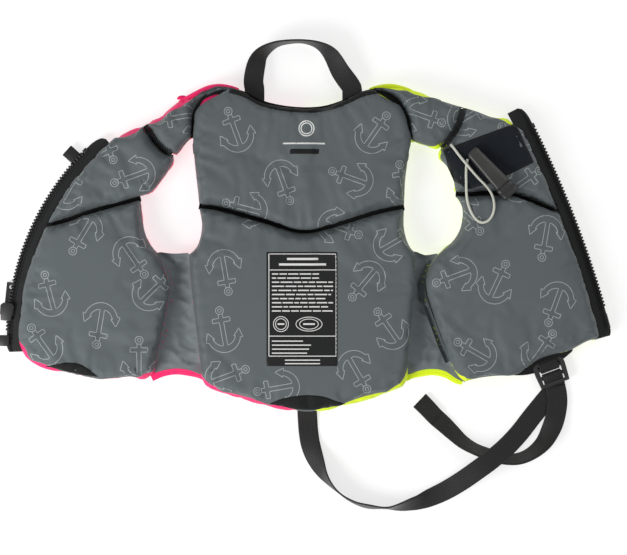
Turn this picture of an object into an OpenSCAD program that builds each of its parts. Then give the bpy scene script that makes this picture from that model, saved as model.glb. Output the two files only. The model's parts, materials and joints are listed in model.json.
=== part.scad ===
// Child's foam life jacket, unzipped and laid open on its outside, lining up.
// Origin: underside of the back panel on its centre line, at mid-height of the label.
// +X runs to the side that carries the whistle, +Y to the grab handle, +Z up out of the lining.

/* [Jacket] */
// Width of the open jacket between the two rows of zip teeth
open_width = 613; // [510:1:740]
// Length of the back panel on its centre line
back_length = 305; // [250:1:370]
// Thickness of the buoyancy foam
foam_t = 26; // [18:0.5:34]
// Thickness of the outer shell cloth
shell_t = 2.5; // [1.5:0.1:4]
// Thickness of the lining cloth
liner_t = 1.5; // [1:0.1:2.5]
// Width of the flex grooves between the foam blocks
groove_w = 4; // [3:0.1:6]
// Width of the binding sewn round the neck
binding_w = 5; // [3:0.1:7]
// Depth of the coloured hem below each side panel
hem_w = 8; // [4:0.5:12]

/* [Webbing] */
// Width of the handle and leg strap webbing
webbing_w = 20; // [16:0.5:25]
// Thickness of that webbing
webbing_t = 1.8; // [1.2:0.1:2.4]
// Width of the ribbon loop beside the zip
ribbon_w = 13; // [8:0.5:18]

/* [Zip] */
// Width of the zip tape that shows beside the teeth
tape_w = 15; // [12:0.5:18]
// Thickness of the zip tape
tape_t = 1.2; // [0.8:0.1:1.6]
// Spacing of the teeth along one tape
tooth_pitch = 3.6; // [3:0.1:5]
// Height of a tooth through the tape
tooth_h = 4.4; // [3.5:0.1:5]
// Length of the slider body
slider_len = 18; // [14:0.5:22]
// Wall of the slider body
slider_wall = 1.7; // [1.4:0.1:2.2]
// Length of the pull tab
pull_len = 30; // [22:1:38]
// Radius of the cord hole in the pull tab
pull_hole_r = 1.8; // [1.2:0.1:2.2]

/* [Buckle] */
// Side rail width of the strap buckle
rail_w = 5; // [4:0.5:7]
// Thickness of the buckle's bars
bar_t = 4; // [3.4:0.1:5]
// Length of the thumb lip
lip_len = 7; // [5:0.5:9]

/* [Whistle] */
// Length of the whistle
whistle_len = 60; // [50:1:66]
// Width of the whistle
whistle_w = 17; // [14:0.5:20]
// Thickness of the whistle
whistle_t = 11; // [9:0.5:14]
// Diameter of the lanyard
cord_d = 2.6; // [2:0.1:3]

/* [Label] */
// Width of the care label
label_w = 71; // [50:1:80]
// Height of the care label
label_h = 114; // [90:1:120]

/* [Hidden] */

grey = [0.33, 0.36, 0.37];
pink = [1.0, 0.16, 0.42];
yellow = [0.90, 1.0, 0.15];
black = [0.09, 0.09, 0.10];
navy = [0.07, 0.09, 0.12];
cream = [0.90, 0.89, 0.82];
foam_white = [0.86, 0.87, 0.85];

kx = open_width / 613;
ky = back_length / 305;
pad_h = shell_t + foam_t + liner_t;   // top of the lining
body_gap = 0.4;                       // between pieces that turn against each other
fit_gap = 0.3;                        // between a webbing or chain and what it runs in
zip_z = 9;                            // height of the tape's middle plane

// ---- curves -------------------------------------------------------------------------

function flat2(p) = [p[0], p[1]];
function is_corner(p) = len(p) > 2;
function corner(p) = [p[0], p[1], 1];
function sized(list) = [for (p = list) is_corner(p) ? [p[0] * kx, p[1] * ky, 1] : [p[0] * kx, p[1] * ky]];
function moved(list, dx, dy) = [for (p = list) is_corner(p) ? [p[0] + dx, p[1] + dy, 1]
    : [p[0] + dx, p[1] + dy]];
function reversed(list) = [for (i = [len(list) - 1 : -1 : 0]) list[i]];
function cornered(list) = [for (i = [0 : len(list) - 1]) i == 0 || i == len(list) - 1 ? corner(list[i])
    : list[i]];
function unit(v) = v / norm(v);

function hermite(a, ta, b, tb, t) =
    (2 * t * t * t - 3 * t * t + 1) * a + (t * t * t - 2 * t * t + t) * ta
    + (3 * t * t - 2 * t * t * t) * b + (t * t * t - t * t) * tb;

// A closed smooth line through the points; a third number marks a sharp corner.
function slope(list, i) = let (n = len(list))
    is_corner(list[i]) ? [0, 0] : (flat2(list[(i + 1) % n]) - flat2(list[(i + n - 1) % n])) / 2;
function outline(list, steps = 3) = let (n = len(list)) [
    for (i = [0 : n - 1], k = [0 : steps - 1])
        let (j = (i + 1) % n, straight = is_corner(list[i]) && is_corner(list[j]))
        if (k == 0 || !straight)
            hermite(flat2(list[i]), slope(list, i), flat2(list[j]), slope(list, j), k / steps)
];

// An open smooth line through the points, end points kept.
function open_slope(list, i) =
    i == 0 ? list[1] - list[0]
    : i == len(list) - 1 ? list[i] - list[i - 1]
    : (list[i + 1] - list[i - 1]) / 2;
function open_curve(list, steps = 3) = concat(
    [for (i = [0 : len(list) - 2], k = [0 : steps - 1])
        hermite(list[i], open_slope(list, i), list[i + 1], open_slope(list, i + 1), k / steps)],
    [list[len(list) - 1]]);

// ---- the sewing pattern: edges shared by neighbouring pieces ----------------------------

neckline = sized([[-72, 213], [-60, 208], [-42, 199], [-20, 194.5], [3, 193], [22, 195], [40, 201],
    [57, 209], [70, 212.5]]);
back_groove = sized([[-107, 95], [-80, 90], [-40, 79], [-15, 71.5], [0, 69.5], [15, 71.5], [45, 80],
    [75, 89], [100, 94]]);
left_crease = sized([[-72, 213], [-90, 208.5], [-103, 201.5], [-110, 192], [-112, 178], [-113, 164]]);
right_crease = sized([[70, 212.5], [84, 205], [95, 196], [101, 184], [104, 172], [106, 161]]);
left_arm_back = sized([[-113, 164], [-112, 145], [-110, 125], [-108, 108], [-107, 95]]);
left_arm_back_low = sized([[-105, 90], [-104, 76], [-106.5, 60], [-111, 51], [-117, 46]]);
right_arm_back = sized([[106, 161], [103.5, 140], [101, 120], [100, 94]]);
right_arm_back_low = sized([[99.5, 90], [99.5, 75], [102, 62], [106, 53], [110, 48]]);
left_side_seam = sized([[-117, 46], [-116, 25], [-114, 5], [-111, -20], [-107.5, -50], [-104.5, -75]]);
right_side_seam = sized([[110, 48], [111, 25], [109, 0], [106.5, -25], [104, -55], [103, -75]]);
back_hem = sized([[-104.5, -75], [-99, -86], [-80, -94.5], [-50, -103], [-25, -109], [0, -111.5],
    [20, -110.5],
    [45, -104.5], [70, -97.5], [90, -90], [99, -85], [103, -75]]);

left_shoulder_top = sized([[-73, 214.5], [-88, 214], [-102, 209.5], [-114, 204.5], [-130, 197], [-148, 184],
    [-162, 177]]);
left_front_top = sized([[-162, 177], [-176, 169.5], [-190, 164]]);
left_shoulder_seam = sized([[-162, 177], [-152, 165], [-143, 154], [-136, 149], [-129, 147]]);
left_arm_front = sized([[-129, 147], [-134, 137], [-145, 121], [-155, 109], [-166, 103]]);
left_arm_front_low = sized([[-166, 103], [-164.5, 84], [-162, 69], [-157, 57], [-149, 47]]);
left_front_seam = sized([[-149, 47], [-143, 32], [-138, 15], [-139, -5], [-144, -30], [-149, -55],
    [-153, -73]]);
left_front_hem = sized([[-281, -57], [-272, -64], [-260, -69], [-245, -72], [-225, -76.5], [-205, -79.5],
    [-190, -79], [-176, -77.5], [-164, -80], [-153, -73]]);
left_groove = sized([[-242, 80], [-218, 88.5], [-195, 95], [-180, 99], [-166, 103]]);

right_shoulder_top = sized([[72, 214], [88, 214.5], [104, 211.5], [125, 205], [142, 199.5], [158, 194.5]]);
right_front_top = sized([[158, 194.5], [172, 190.5], [186, 185], [200, 183]]);
right_shoulder_seam = sized([[158, 194.5], [153, 178], [146, 166], [139, 157], [132, 153]]);
right_arm_front = sized([[132, 153], [136, 143], [143, 135], [149, 124], [152, 107]]);
right_arm_front_low = sized([[152, 107], [158, 95], [159, 84], [156, 70], [149, 59], [141, 52],
    [134, 45.5]]);
right_front_seam = sized([[134, 45.5], [127, 35], [122.5, 22], [123, 8], [127.5, -8], [135, -30],
    [143, -52], [152, -72], [162, -82]]);
right_front_hem = sized([[162, -82], [175, -79], [190, -77], [210, -75.5], [224, -68], [236, -60],
    [250, -55],
    [264, -52], [275, -47], [286, -41], [295, -39]]);
right_groove = sized([[152, 107], [168, 106.5], [185, 107.5], [205, 106], [225, 101]]);

// Each row of zip teeth lies on one arc: [centre, radius, bearing at the top, bearing at the foot].
function circle_centre(a, b, c) =
    let (d = 2 * (a[0] * (b[1] - c[1]) + b[0] * (c[1] - a[1]) + c[0] * (a[1] - b[1])))
    [((a * a) * (b[1] - c[1]) + (b * b) * (c[1] - a[1]) + (c * c) * (a[1] - b[1])) / d,
     ((a * a) * (c[0] - b[0]) + (b * b) * (a[0] - c[0]) + (c * c) * (b[0] - a[0])) / d];
function bearing(p, centre) = let (a = atan2(p[1] - centre[1], p[0] - centre[0])) a < -90 ? a + 360 : a;
function zip_arc(top, mid, end) = let (c = circle_centre(top, mid, end))
    [c, norm(top - c), bearing(top, c), bearing(end, c)];
function zip_at(arc, f, off) = let (a = arc[2] + (arc[3] - arc[2]) * f)
    arc[0] + (arc[1] - off) * [cos(a), sin(a)];
function zip_length(arc) = arc[1] * PI / 180 * abs(arc[3] - arc[2]);
left_arc = zip_arc([-219 * kx, 157 * ky], [-274 * kx, 82 * ky], [-303 * kx, -46 * ky]);
right_arc = zip_arc([229 * kx, 183 * ky], [271 * kx, 90 * ky], [310 * kx, -28 * ky]);
left_len = zip_length(left_arc);
right_len = zip_length(right_arc);
function left_zip(f, off) = zip_at(left_arc, f, off);
function right_zip(f, off) = zip_at(right_arc, f, off);
left_seam_f = 0.415;    // where the front groove meets the tape, as a share of the zip
right_seam_f = 0.43;

function ends_cut(list, first, last) = [for (i = [first : len(list) - 1 - last]) list[i]];

half = groove_w / 2;
left_half_f = half / left_len;      // the same half groove, as a share of each zip
right_half_f = half / right_len;
back_upper = outline(concat(cornered(neckline), ends_cut(right_crease, 1, 0),
    ends_cut(right_arm_back, 1, 1),
    reversed(cornered(moved(back_groove, 0, half))), reversed(ends_cut(left_arm_back, 0, 1)),
    reversed(ends_cut(left_crease, 1, 1))));
back_lower = outline(concat(cornered(moved(back_groove, 0, -half)), ends_cut(right_arm_back_low, 1, 1),
    cornered(right_side_seam), reversed(ends_cut(back_hem, 1, 1)),
    reversed(cornered(left_side_seam)), reversed(ends_cut(left_arm_back_low, 1, 1))));

crease_gap = 1.3;
left_shoulder = outline(concat(cornered(left_shoulder_top), ends_cut(left_shoulder_seam, 1, 1),
    [corner(left_shoulder_seam[4])], [[-121 * kx, 157 * ky]], [corner(left_crease[5] - [crease_gap, 0])],
    reversed(ends_cut(moved(left_crease, -crease_gap, crease_gap / 2), 1, 1))));
left_upper = outline(concat([for (f = [0 : 0.1 : 0.35]) f == 0 ? corner(left_zip(f, tape_w))
    : left_zip(f, tape_w)],
    [corner(left_zip(left_seam_f - left_half_f, tape_w))], ends_cut(moved(left_groove, 0, half), 0, 1),
    [corner(left_groove[4] + [0, half])], reversed(ends_cut(left_arm_front, 1, 1)),
    [corner(left_arm_front[0] - [groove_w, 0])], reversed(ends_cut(moved(left_shoulder_seam,
        -groove_w * 0.7, -groove_w * 0.7), 1, 1)),
    cornered(moved(left_front_top, -groove_w * 0.5, -1))));
left_lower = outline(concat([corner(left_zip(left_seam_f + left_half_f, tape_w))],
    [for (f = [0.5 : 0.1 : 0.9]) left_zip(f, tape_w)], [corner(left_zip(0.985, tape_w))],
    ends_cut(left_front_hem, 0, 1), [corner(left_front_hem[9])],
    reversed(ends_cut(left_front_seam, 1, 1)), [corner(left_front_seam[0])],
    reversed(ends_cut(left_arm_front_low, 1, 1)), [corner(left_groove[4] - [0, half])],
    reversed(ends_cut(moved(left_groove, 0, -half), 0, 1))));
left_side = outline(concat(cornered(moved(left_side_seam, -body_gap, 0)),
    [[-116 * kx, -70 * ky], [-130 * kx, -68 * ky], [-144 * kx, -70 * ky]],
    reversed(cornered(moved(left_front_seam, body_gap, 0))), [[-133 * kx, 45 * ky]]));
left_hem = outline(concat([corner(left_side_seam[5] - [body_gap, 0.3])],
    [[-116 * kx, -70.3 * ky], [-130 * kx, -68.3 * ky],
    [-144 * kx, -70.3 * ky]], [corner(left_front_seam[6] + [body_gap, -0.3])],
        [corner(left_front_seam[6] + [-2, -hem_w])],
    [[-144 * kx, -70 * ky - hem_w], [-130 * kx, -68 * ky - hem_w], [-116 * kx, -70 * ky - hem_w]],
    [corner(left_side_seam[5] - [body_gap, hem_w - 1.5])]));

right_shoulder = outline(concat(cornered(right_shoulder_top), ends_cut(right_shoulder_seam, 1, 1),
    [corner(right_shoulder_seam[4])], [[120 * kx, 156.5 * ky]], [corner(right_crease[5] + [crease_gap, 0])],
    reversed(ends_cut(moved(right_crease, crease_gap, crease_gap / 2), 1, 1))));
right_upper = outline(concat([for (f = [0.03 : 0.1 : 0.35]) f == 0.03 ? corner(right_zip(f, tape_w))
    : right_zip(f, tape_w)],
    [corner(right_zip(right_seam_f - right_half_f, tape_w))],
        reversed(ends_cut(moved(right_groove, 0, half), 1, 0)),
    [corner(right_groove[0] + [0, half])], reversed(ends_cut(right_arm_front, 1, 1)),
    [corner(right_arm_front[0] + [groove_w, 0])], reversed(ends_cut(moved(right_shoulder_seam,
        groove_w * 0.7, -groove_w * 0.3), 1, 1)),
    cornered(moved(right_front_top, groove_w * 0.5, -0.5))));
right_lower = outline(concat([corner(right_zip(right_seam_f + right_half_f, tape_w))],
    [for (f = [0.5 : 0.1 : 0.9]) right_zip(f, tape_w)], [corner(right_zip(0.985, tape_w))],
    reversed(ends_cut(right_front_hem, 1, 0)), [corner(right_front_hem[0])],
    reversed(ends_cut(right_front_seam, 1, 1)), [corner(right_front_seam[0])],
    reversed(ends_cut(right_arm_front_low, 1, 1)), [corner(right_groove[0] - [0, half])],
    ends_cut(moved(right_groove, 0, -half), 1, 0)));
right_side = outline(concat(cornered(moved(right_side_seam, body_gap, 0)),
    [[116 * kx, -70 * ky], [130 * kx, -68.5 * ky], [143 * kx, -71 * ky], [153 * kx, -78 * ky]],
    reversed(cornered(moved(right_front_seam, -body_gap, 0))), [[121 * kx, 43.5 * ky]]));
right_hem = outline(concat([corner(right_side_seam[5] + [body_gap, -0.3])],
    [[116 * kx, -70.3 * ky], [130 * kx, -68.8 * ky],
    [143 * kx, -71.3 * ky], [153 * kx, -78.3 * ky]], [corner(right_front_seam[8] - [body_gap, 0.3])],
    [corner(right_front_seam[8] - [3, 2.5])], [[152 * kx, -79 * ky - 0.6 * hem_w],
        [143 * kx, -71 * ky - hem_w],
    [130 * kx, -68.5 * ky - hem_w], [116 * kx, -70 * ky - hem_w]],
        [corner(right_side_seam[5] + [body_gap, 0.5 - hem_w])]));

// A band of even width along a line: its outline, left side then right side.
function heading(line, i) = unit(i == 0 ? line[1] - line[0]
    : i == len(line) - 1 ? line[i] - line[i - 1] : line[i + 1] - line[i - 1]);
function side_line(line, off) = [for (i = [0 : len(line) - 1]) let (h = heading(line, i)) line[i]
    + off * [-h[1], h[0]]];
function band(list, w) = let (line = open_curve(list))
    concat(side_line(line, w / 2), reversed(side_line(line, -w / 2)));

module slab(points, low, high) translate([0, 0, low]) linear_extrude(high - low) polygon(points);
module inner_slab(points, d, low, high) translate([0, 0, low]) linear_extrude(high - low)
    offset(delta = -d) polygon(points);

// The shell cloth under and round one foam block, open on top.
module tray(points) difference() {
    slab(points, 0, pad_h - liner_t);
    inner_slab(points, shell_t, shell_t, pad_h);
}
module foam(points) color(foam_white) inner_slab(points, shell_t, shell_t, pad_h - liner_t);
module liner(points) color(grey) slab(points, pad_h - liner_t, pad_h);
module half_plane(x_low, x_high) translate([x_low, -200, -1]) cube([x_high - x_low, 500, 100]);
big = 400;

// ---- back -----------------------------------------------------------------------------

module back_shell_pink() color(pink) intersection() {
    union() { tray(back_upper); tray(back_lower); }
    half_plane(-big, 0);
}
module back_shell_yellow() color(yellow) intersection() {
    union() { tray(back_upper); tray(back_lower); }
    half_plane(0, big);
}
module back_foam_upper() foam(back_upper);
module back_foam_lower() foam(back_lower);
module back_liner_upper() liner(back_upper);
module back_liner_lower() liner(back_lower);

groove_h = foam_t * 0.4;
strip_gap = 0.7;      // each side of the strip, to the foam blocks
module groove_strip(line) color(black) slab(band(line, groove_w - 2 * strip_gap), 0, groove_h);
module back_groove_strip() groove_strip(back_groove);

trim_t = 1;
module neck_binding() color(black) slab(concat(open_curve(moved(neckline, 0, -1)),
    reversed(open_curve(moved(neckline, 0, -1 - binding_w)))), pad_h, pad_h + trim_t);

label_at = [-3 * kx, -9 * ky];
module care_label() color(black) translate([label_at[0] - label_w / 2, label_at[1] - label_h / 2, pad_h])
    cube([label_w, label_h, 0.8]);

back_patch = outline(sized([[-36, -104, 1], [-26, -99.5], [-14, -96.5], [2, -95], [18, -96.5], [30, -100.5],
    [41, -104, 1],
    [22, -108.5], [0, -110], [-20, -107.5]]));
module back_strap_patch() color(black) slab(back_patch, pad_h, pad_h + trim_t);

// ---- grab handle ------------------------------------------------------------------------

handle_z = 14;
handle_axis_y = 210.5 * ky;
// Route of the handle loop: x, y, height, and how far the webbing is turned on edge.
handle_route = [[-51, 211, 14, 0], [-51.1, 213.5, 14, 0], [-52, 222, 14, 5], [-49, 238, 14, 25],
    [-43, 249, 14, 55], [-30, 257.5, 14, 80],
    [-15, 260.5, 14, 88], [0, 260.5, 14, 88], [14, 256.5, 14, 75], [26, 247, 14, 45], [36, 230, 14, 20],
    [44.3, 218.5, 14, 5], [47.4, 213.5, 14, 0], [47.5, 211, 14, 0]];

function at_size(route) = [for (p = route) [p[0] * kx, p[1] * ky, p[2], p[3]]];
function smooth4(list, steps) = concat(
    [for (i = [0 : len(list) - 2], k = [0 : steps - 1])
        hermite(list[i], open_slope(list, i), list[i + 1], open_slope(list, i + 1), k / steps)],
    [list[len(list) - 1]]);
function spot(p) = [p[0], p[1], p[2]];

// Webbing swept along a route; its ring is a flat section with broken corners.
function web_ring(w, t) = [[-w / 2, -t / 4], [-w / 2 + t / 3, -t / 2], [w / 2 - t / 3, -t / 2],
    [w / 2, -t / 4],
    [w / 2, t / 4], [w / 2 - t / 3, t / 2], [-w / 2 + t / 3, t / 2], [-w / 2, t / 4]];
function cord_ring(d) = [for (i = [0 : 7]) d / 2 * [cos(45 * i), sin(45 * i)]];
module swept(route, ring, steps = 2) {
    line = smooth4(route, steps);
    count = len(line);
    sides = len(ring);
    rings = [for (i = [0 : count - 1])
        let (
            ahead = spot(line[min(i + 1, count - 1)]) - spot(line[max(i - 1, 0)]),
            along = unit(ahead),
            level = unit(cross([0, 0, 1], along)),
            rise = cross(along, level),
            across = level * cos(line[i][3]) + rise * sin(line[i][3]),
            out = cross(along, across))
        [for (q = ring) spot(line[i]) + across * q[0] + out * q[1]]];
    points = [for (r = rings) for (p = r) p];
    skin = [for (i = [0 : count - 2]) for (k = [0 : sides - 1])
        let (a = i * sides + k, b = i * sides + (k + 1) % sides)
        each [[a, b, b + sides], [a, b + sides, a + sides]]];
    first_end = [[for (k = [sides - 1 : -1 : 0]) k]];
    last_end = [[for (k = [0 : sides - 1]) (count - 1) * sides + k]];
    polyhedron(points = points, faces = [for (f = concat(skin, first_end, last_end)) reversed(f)]);
}

module grab_handle() color(black) swept(at_size(handle_route), web_ring(webbing_w, webbing_t));
module handle_foot(x, root_y) translate([x * kx - webbing_w / 2, root_y * ky, handle_z - webbing_t / 2])
    cube([webbing_w, handle_axis_y - webbing_t / 2 - body_gap - root_y * ky, webbing_t]);
module handle_bar_tacks() color(black) {
    difference() {
        union() { handle_foot(-51, 196); handle_foot(47.5, 196); }
        slab(back_upper, 0, pad_h);
    }
}

// ---- leg strap --------------------------------------------------------------------------

// Routes of the strap: x, y, height, and how far the webbing is turned on edge.
strap_back_route = [[2, -111.9, 4, 0], [2.5, -122, 1.6, 0], [3.5, -135, 1.2, 0], [6, -149, 2, 10],
    [12, -165, 5, 35],
    [21, -181, 9.5, 68], [33, -194, 11, 84], [48, -204, 11, 80], [64, -209, 10.5, 74],
        [82, -210.5, 10.7, 80],
    [97, -209.3, 9.4, 60], [108, -206.9, 8.1, 45], [111.5, -206.05, 7.6, 40]];
strap_front_route = [[112.4, -205.83, 7.6, 40], [116, -204.9, 7.1, 36], [126, -201, 6.5, 20],
    [142, -193, 10, 8], [158, -182.5, 16, 3],
    [174, -170.5, 20.8, 0], [188, -160, 21.5, 0], [203, -147.5, 19, 0], [217, -134, 11.5, 0],
        [230, -119, 4, 0],
    [241, -106, 1.6, 0], [249.5, -95.5, 1.5, 0], [254, -87.1, 1.5, 0]];
tail_route = [[254.2, -87.1, 3.5, 0], [256, -97, 3.9, 0], [256, -107, 4.4, 0], [253.5, -120, 5.2, 3],
    [248.5, -133, 6.2, 25],
    [241, -145.5, 7.5, 45], [229, -155.5, 9.5, 58], [215, -161, 10, 62], [200, -160.5, 9.6, 60],
        [186, -156.5, 9.6, 58],
    [172, -151, 9.6, 58], [160, -144, 8.6, 50], [150, -135, 7.6, 40], [141, -126.5, 6.8, 32],
        [132, -118.5, 6.2, 28],
    [124, -110, 5.8, 25], [116, -102, 5.4, 22]];
module leg_strap_back() color(black) swept(strap_back_route, web_ring(webbing_w, webbing_t));
// The webbing beyond the loop round the buckle is a piece of its own, so both runs stop short of it.
module short_of_wrap() difference() {
    children();
    at_buckle() translate([-2 * webbing_w, wrap_end - body_gap, -webbing_w]) cube([4 * webbing_w, 30,
        2 * webbing_w]);
}
module leg_strap_front() color(black) short_of_wrap() swept(strap_front_route,
    web_ring(webbing_w, webbing_t));
module leg_strap_tail() color(black) short_of_wrap() swept(tail_route, web_ring(webbing_w, webbing_t));

// ---- left front ---------------------------------------------------------------------------

module seam_floor(line) slab(band(line, groove_w * 2), 0, shell_t);
module left_upper_shell() color(pink) union() {
    tray(left_shoulder);
    tray(left_upper);
    seam_floor(moved(left_shoulder_seam, -1.5, -1.5));
}
module left_lower_shell() color(pink) tray(left_lower);
module left_shoulder_foam() foam(left_shoulder);
module left_upper_foam() foam(left_upper);
module left_lower_foam() foam(left_lower);
module left_shoulder_liner() liner(left_shoulder);
module left_upper_liner() liner(left_upper);
module left_lower_liner() liner(left_lower);
module left_groove_strip() groove_strip(left_groove);

panel_t = 3;
module left_side_shell() color(pink) slab(left_side, 0, shell_t);
module left_side_panel() color(grey) slab(left_side, shell_t, shell_t + panel_t);
module left_side_hem() color(pink) slab(left_hem, 0, shell_t + panel_t);

left_patch = outline(sized([[-262, -67, 1], [-250, -64.5], [-238, -62.5], [-226, -64], [-216, -69.5],
    [-207, -77, 1],
    [-225, -74.5], [-245, -70]]));
module left_strap_patch() color(black) slab(left_patch, pad_h, pad_h + trim_t);

// Local frame on the left zip: x outwards from the teeth, y towards the foot of the zip.
module on_left_zip(f) {
    p = left_zip(f, 0);
    translate([p[0], p[1], zip_z]) rotate(left_arc[2] + (left_arc[3] - left_arc[2]) * f) children();
}
ribbon_z = 4;
module left_ribbon_loop() color(black) on_left_zip(0.085)
    translate([-tape_w, -ribbon_w / 2, ribbon_z - zip_z]) cube([tape_w + 12, ribbon_w, webbing_t]);

tooth_reach = 3.8;    // tooth size across the zip
tooth_w = tooth_pitch * 0.55;
stop_f = 0.03;        // top stop, as a share of the zip's length
box_f = 0.955;        // start of the retainer box
function tape_steps() = [for (i = [0 : 24]) i / 24];
module left_zip_tape() color(black) slab(concat([for (f = tape_steps()) left_zip(f, tooth_reach)],
    [for (f = reversed(tape_steps())) left_zip(f, tape_w - fit_gap)]), zip_z - tape_t / 2, zip_z
        + tape_t / 2);
module tooth() translate([-tooth_reach, -tooth_w / 2, -tooth_h / 2]) cube([tooth_reach, tooth_w, tooth_h]);
module left_zip_teeth() color(black) {
    first = stop_f + 5 / left_len;
    count = floor((box_f - first) * left_len / tooth_pitch);
    for (i = [0 : count - 1]) on_left_zip(first + i * tooth_pitch / left_len) tooth();
}
module left_zip_stop() color(black) on_left_zip(stop_f)
    translate([-tooth_reach, -2.5, -tooth_h / 2]) cube([tooth_reach, 5, tooth_h]);

box_len = 11;
box_w = 10;
pin_r = 1.5;
module left_zip_box() color(black) on_left_zip(box_f) difference() {
    translate([-tooth_reach, 0, -tooth_h / 2 - 1]) cube([box_w, box_len, tooth_h + 2]);
    translate([2.5, -1, 0]) rotate([-90, 0, 0]) cylinder(r = pin_r + fit_gap, h = box_len, $fn = 32);
}

// ---- slider and pull -------------------------------------------------------------------------

slider_f = 0.85;
slider_gap = tooth_h / 2 + fit_gap;
slider_w = 14;
slider_top = slider_gap + slider_wall;
bar_r = 0.8;
bar_z = -slider_top - bar_r - 1.1;
pull_w = 9;
pull_t = 1.6;
module slider_plate(low) translate([0, 0, low]) linear_extrude(slider_wall)
    polygon([[-slider_w / 2, -slider_len * 0.35], [-slider_w * 0.3, -slider_len / 2],
        [slider_w * 0.3, -slider_len / 2],
        [slider_w / 2, -slider_len * 0.35], [slider_w * 0.36, slider_len / 2],
            [-slider_w * 0.36, slider_len / 2]]);
module slider_flange(x, low, high) translate([x, -slider_len * 0.32, low]) cube([slider_wall,
    slider_len * 0.5, high - low]);
module zip_slider() color(black) on_left_zip(slider_f) union() {
    slider_plate(slider_gap);
    slider_plate(-slider_top);
    for (x = [-slider_w / 2, slider_w / 2 - slider_wall]) {
        slider_flange(x, tape_t / 2 + fit_gap, slider_gap + 0.2);
        slider_flange(x, -slider_gap - 0.2, -tape_t / 2 - fit_gap);
    }
    translate([1.2, -slider_len / 2, -slider_gap - 0.2]) cube([2.6, 5, 2 * slider_gap + 0.4]);
    for (x = [-pull_w / 2 - 1.8, pull_w / 2 + 0.6])
        translate([x, -1.4, bar_z - 1.2]) cube([1.2, 2.8, -slider_top - bar_z + 1.4]);
    translate([-pull_w / 2 - 1.2, 0, bar_z]) rotate([0, 90, 0]) cylinder(r = bar_r, h = pull_w + 2.4,
        $fn = 32);
}
module zip_pull() color(black) on_left_zip(slider_f) translate([0, 0, bar_z]) difference() {
    union() {
        translate([-pull_w / 2, 0, 0]) rotate([0, 90, 0]) cylinder(r = bar_r + 1, h = pull_w, $fn = 32);
        translate([-pull_w / 2, -pull_len, -bar_r - 1]) cube([pull_w, pull_len, pull_t]);
    }
    translate([-pull_w, 0, 0]) rotate([0, 90, 0]) cylinder(r = bar_r + 0.08, h = 2 * pull_w, $fn = 32);
    translate([0, -pull_len + 5, -10]) cylinder(r = pull_hole_r, h = 20, $fn = 32);
}

// ---- right front -------------------------------------------------------------------------------

module right_upper_shell() color(yellow) union() {
    tray(right_shoulder);
    tray(right_upper);
    seam_floor(moved(right_shoulder_seam, 1.5, 0));
}
module right_lower_shell() color(yellow) tray(right_lower);
module right_shoulder_foam() foam(right_shoulder);
module right_upper_foam() foam(right_upper);
module right_lower_foam() foam(right_lower);
module right_shoulder_liner() liner(right_shoulder);
module right_upper_liner() liner(right_upper);
module right_lower_liner() liner(right_lower);
module right_groove_strip() groove_strip(right_groove);
module right_side_shell() color(yellow) slab(right_side, 0, shell_t);
module right_side_panel() color(grey) slab(right_side, shell_t, shell_t + panel_t);
module right_side_hem() color(yellow) slab(right_hem, 0, shell_t + panel_t);

right_patch = outline(sized([[211, -76.5, 1], [222, -60], [245, -48], [271, -48, 1], [270.5, -52, 1],
    [261, -60.5],
    [250, -66.5], [240, -71.5], [231, -75], [221, -76.5]]));
patch_t = 2;
module right_strap_patch() color(black) difference() {
    slab(right_patch, 0, patch_t);
    slab(right_lower, -1, pad_h);
}

// Local frame on the right zip: x outwards from the teeth, y towards the top of the zip.
module on_right_zip(f) {
    p = right_zip(f, 0);
    translate([p[0], p[1], zip_z]) rotate(right_arc[2] + (right_arc[3] - right_arc[2]) * f) children();
}
module right_zip_tape() color(black) slab(concat([for (f = tape_steps()) right_zip(f, tooth_reach)],
    [for (f = reversed(tape_steps())) right_zip(f, tape_w - fit_gap)]), zip_z - tape_t / 2, zip_z
        + tape_t / 2);
module right_zip_teeth() color(black) {
    first = stop_f + 5 / right_len;
    count = floor((box_f - 0.03 - first) * right_len / tooth_pitch);
    for (i = [0 : count - 1]) on_right_zip(first + i * tooth_pitch / right_len) tooth();
}
module right_zip_stop() color(black) on_right_zip(stop_f)
    translate([-tooth_reach, -2.5, -tooth_h / 2]) cube([tooth_reach, 5, tooth_h]);
pin_len = 15;
module right_zip_pin() color(black) on_right_zip(1)
    translate([-tooth_reach + pin_r + 0.05, 0, 0]) rotate([-90, 0, 0]) cylinder(r = pin_r, h = pin_len,
        $fn = 32);

// ---- whistle ------------------------------------------------------------------------------------

pocket = sized([[138, 150], [151, 155], [211, 177], [229, 137.5], [205, 126], [185, 117], [162, 110.5],
    [150, 120], [144, 134]]);
module whistle_pocket() color(navy) slab(pocket, pad_h, pad_h + trim_t);

whistle_at = [165.5 * kx, 149 * ky];
whistle_turn = -47.3;
whistle_low = pad_h + trim_t + fit_gap;
eye_r = cord_d / 2 + 0.3;
module whistle() color([0.22, 0.20, 0.19]) translate([whistle_at[0], whistle_at[1],
    whistle_low]) rotate(whistle_turn)
    difference() {
        union() {
            linear_extrude(whistle_t) polygon([[0, -whistle_w * 0.33], [2.5, -whistle_w * 0.39],
                [whistle_len - 10, -whistle_w * 0.5], [whistle_len - 10, whistle_w * 0.5],
                [2.5, whistle_w * 0.39], [0, whistle_w * 0.33]]);
            translate([whistle_len - 11, -whistle_w / 2 - 0.8, 0]) cube([11, whistle_w + 1.6, whistle_t]);
        }
        translate([4, -whistle_w, whistle_t / 2]) rotate([-90, 0, 0]) cylinder(r = eye_r, h = 2 * whistle_w,
            $fn = 32);
        translate([whistle_len - 20, -whistle_w * 0.36, 1.5]) cube([30, whistle_w * 0.72, whistle_t - 3]);
        translate([whistle_len - 17, -whistle_w * 0.25, whistle_t - 3]) cube([4, whistle_w * 0.5, 5]);
    }

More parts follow.
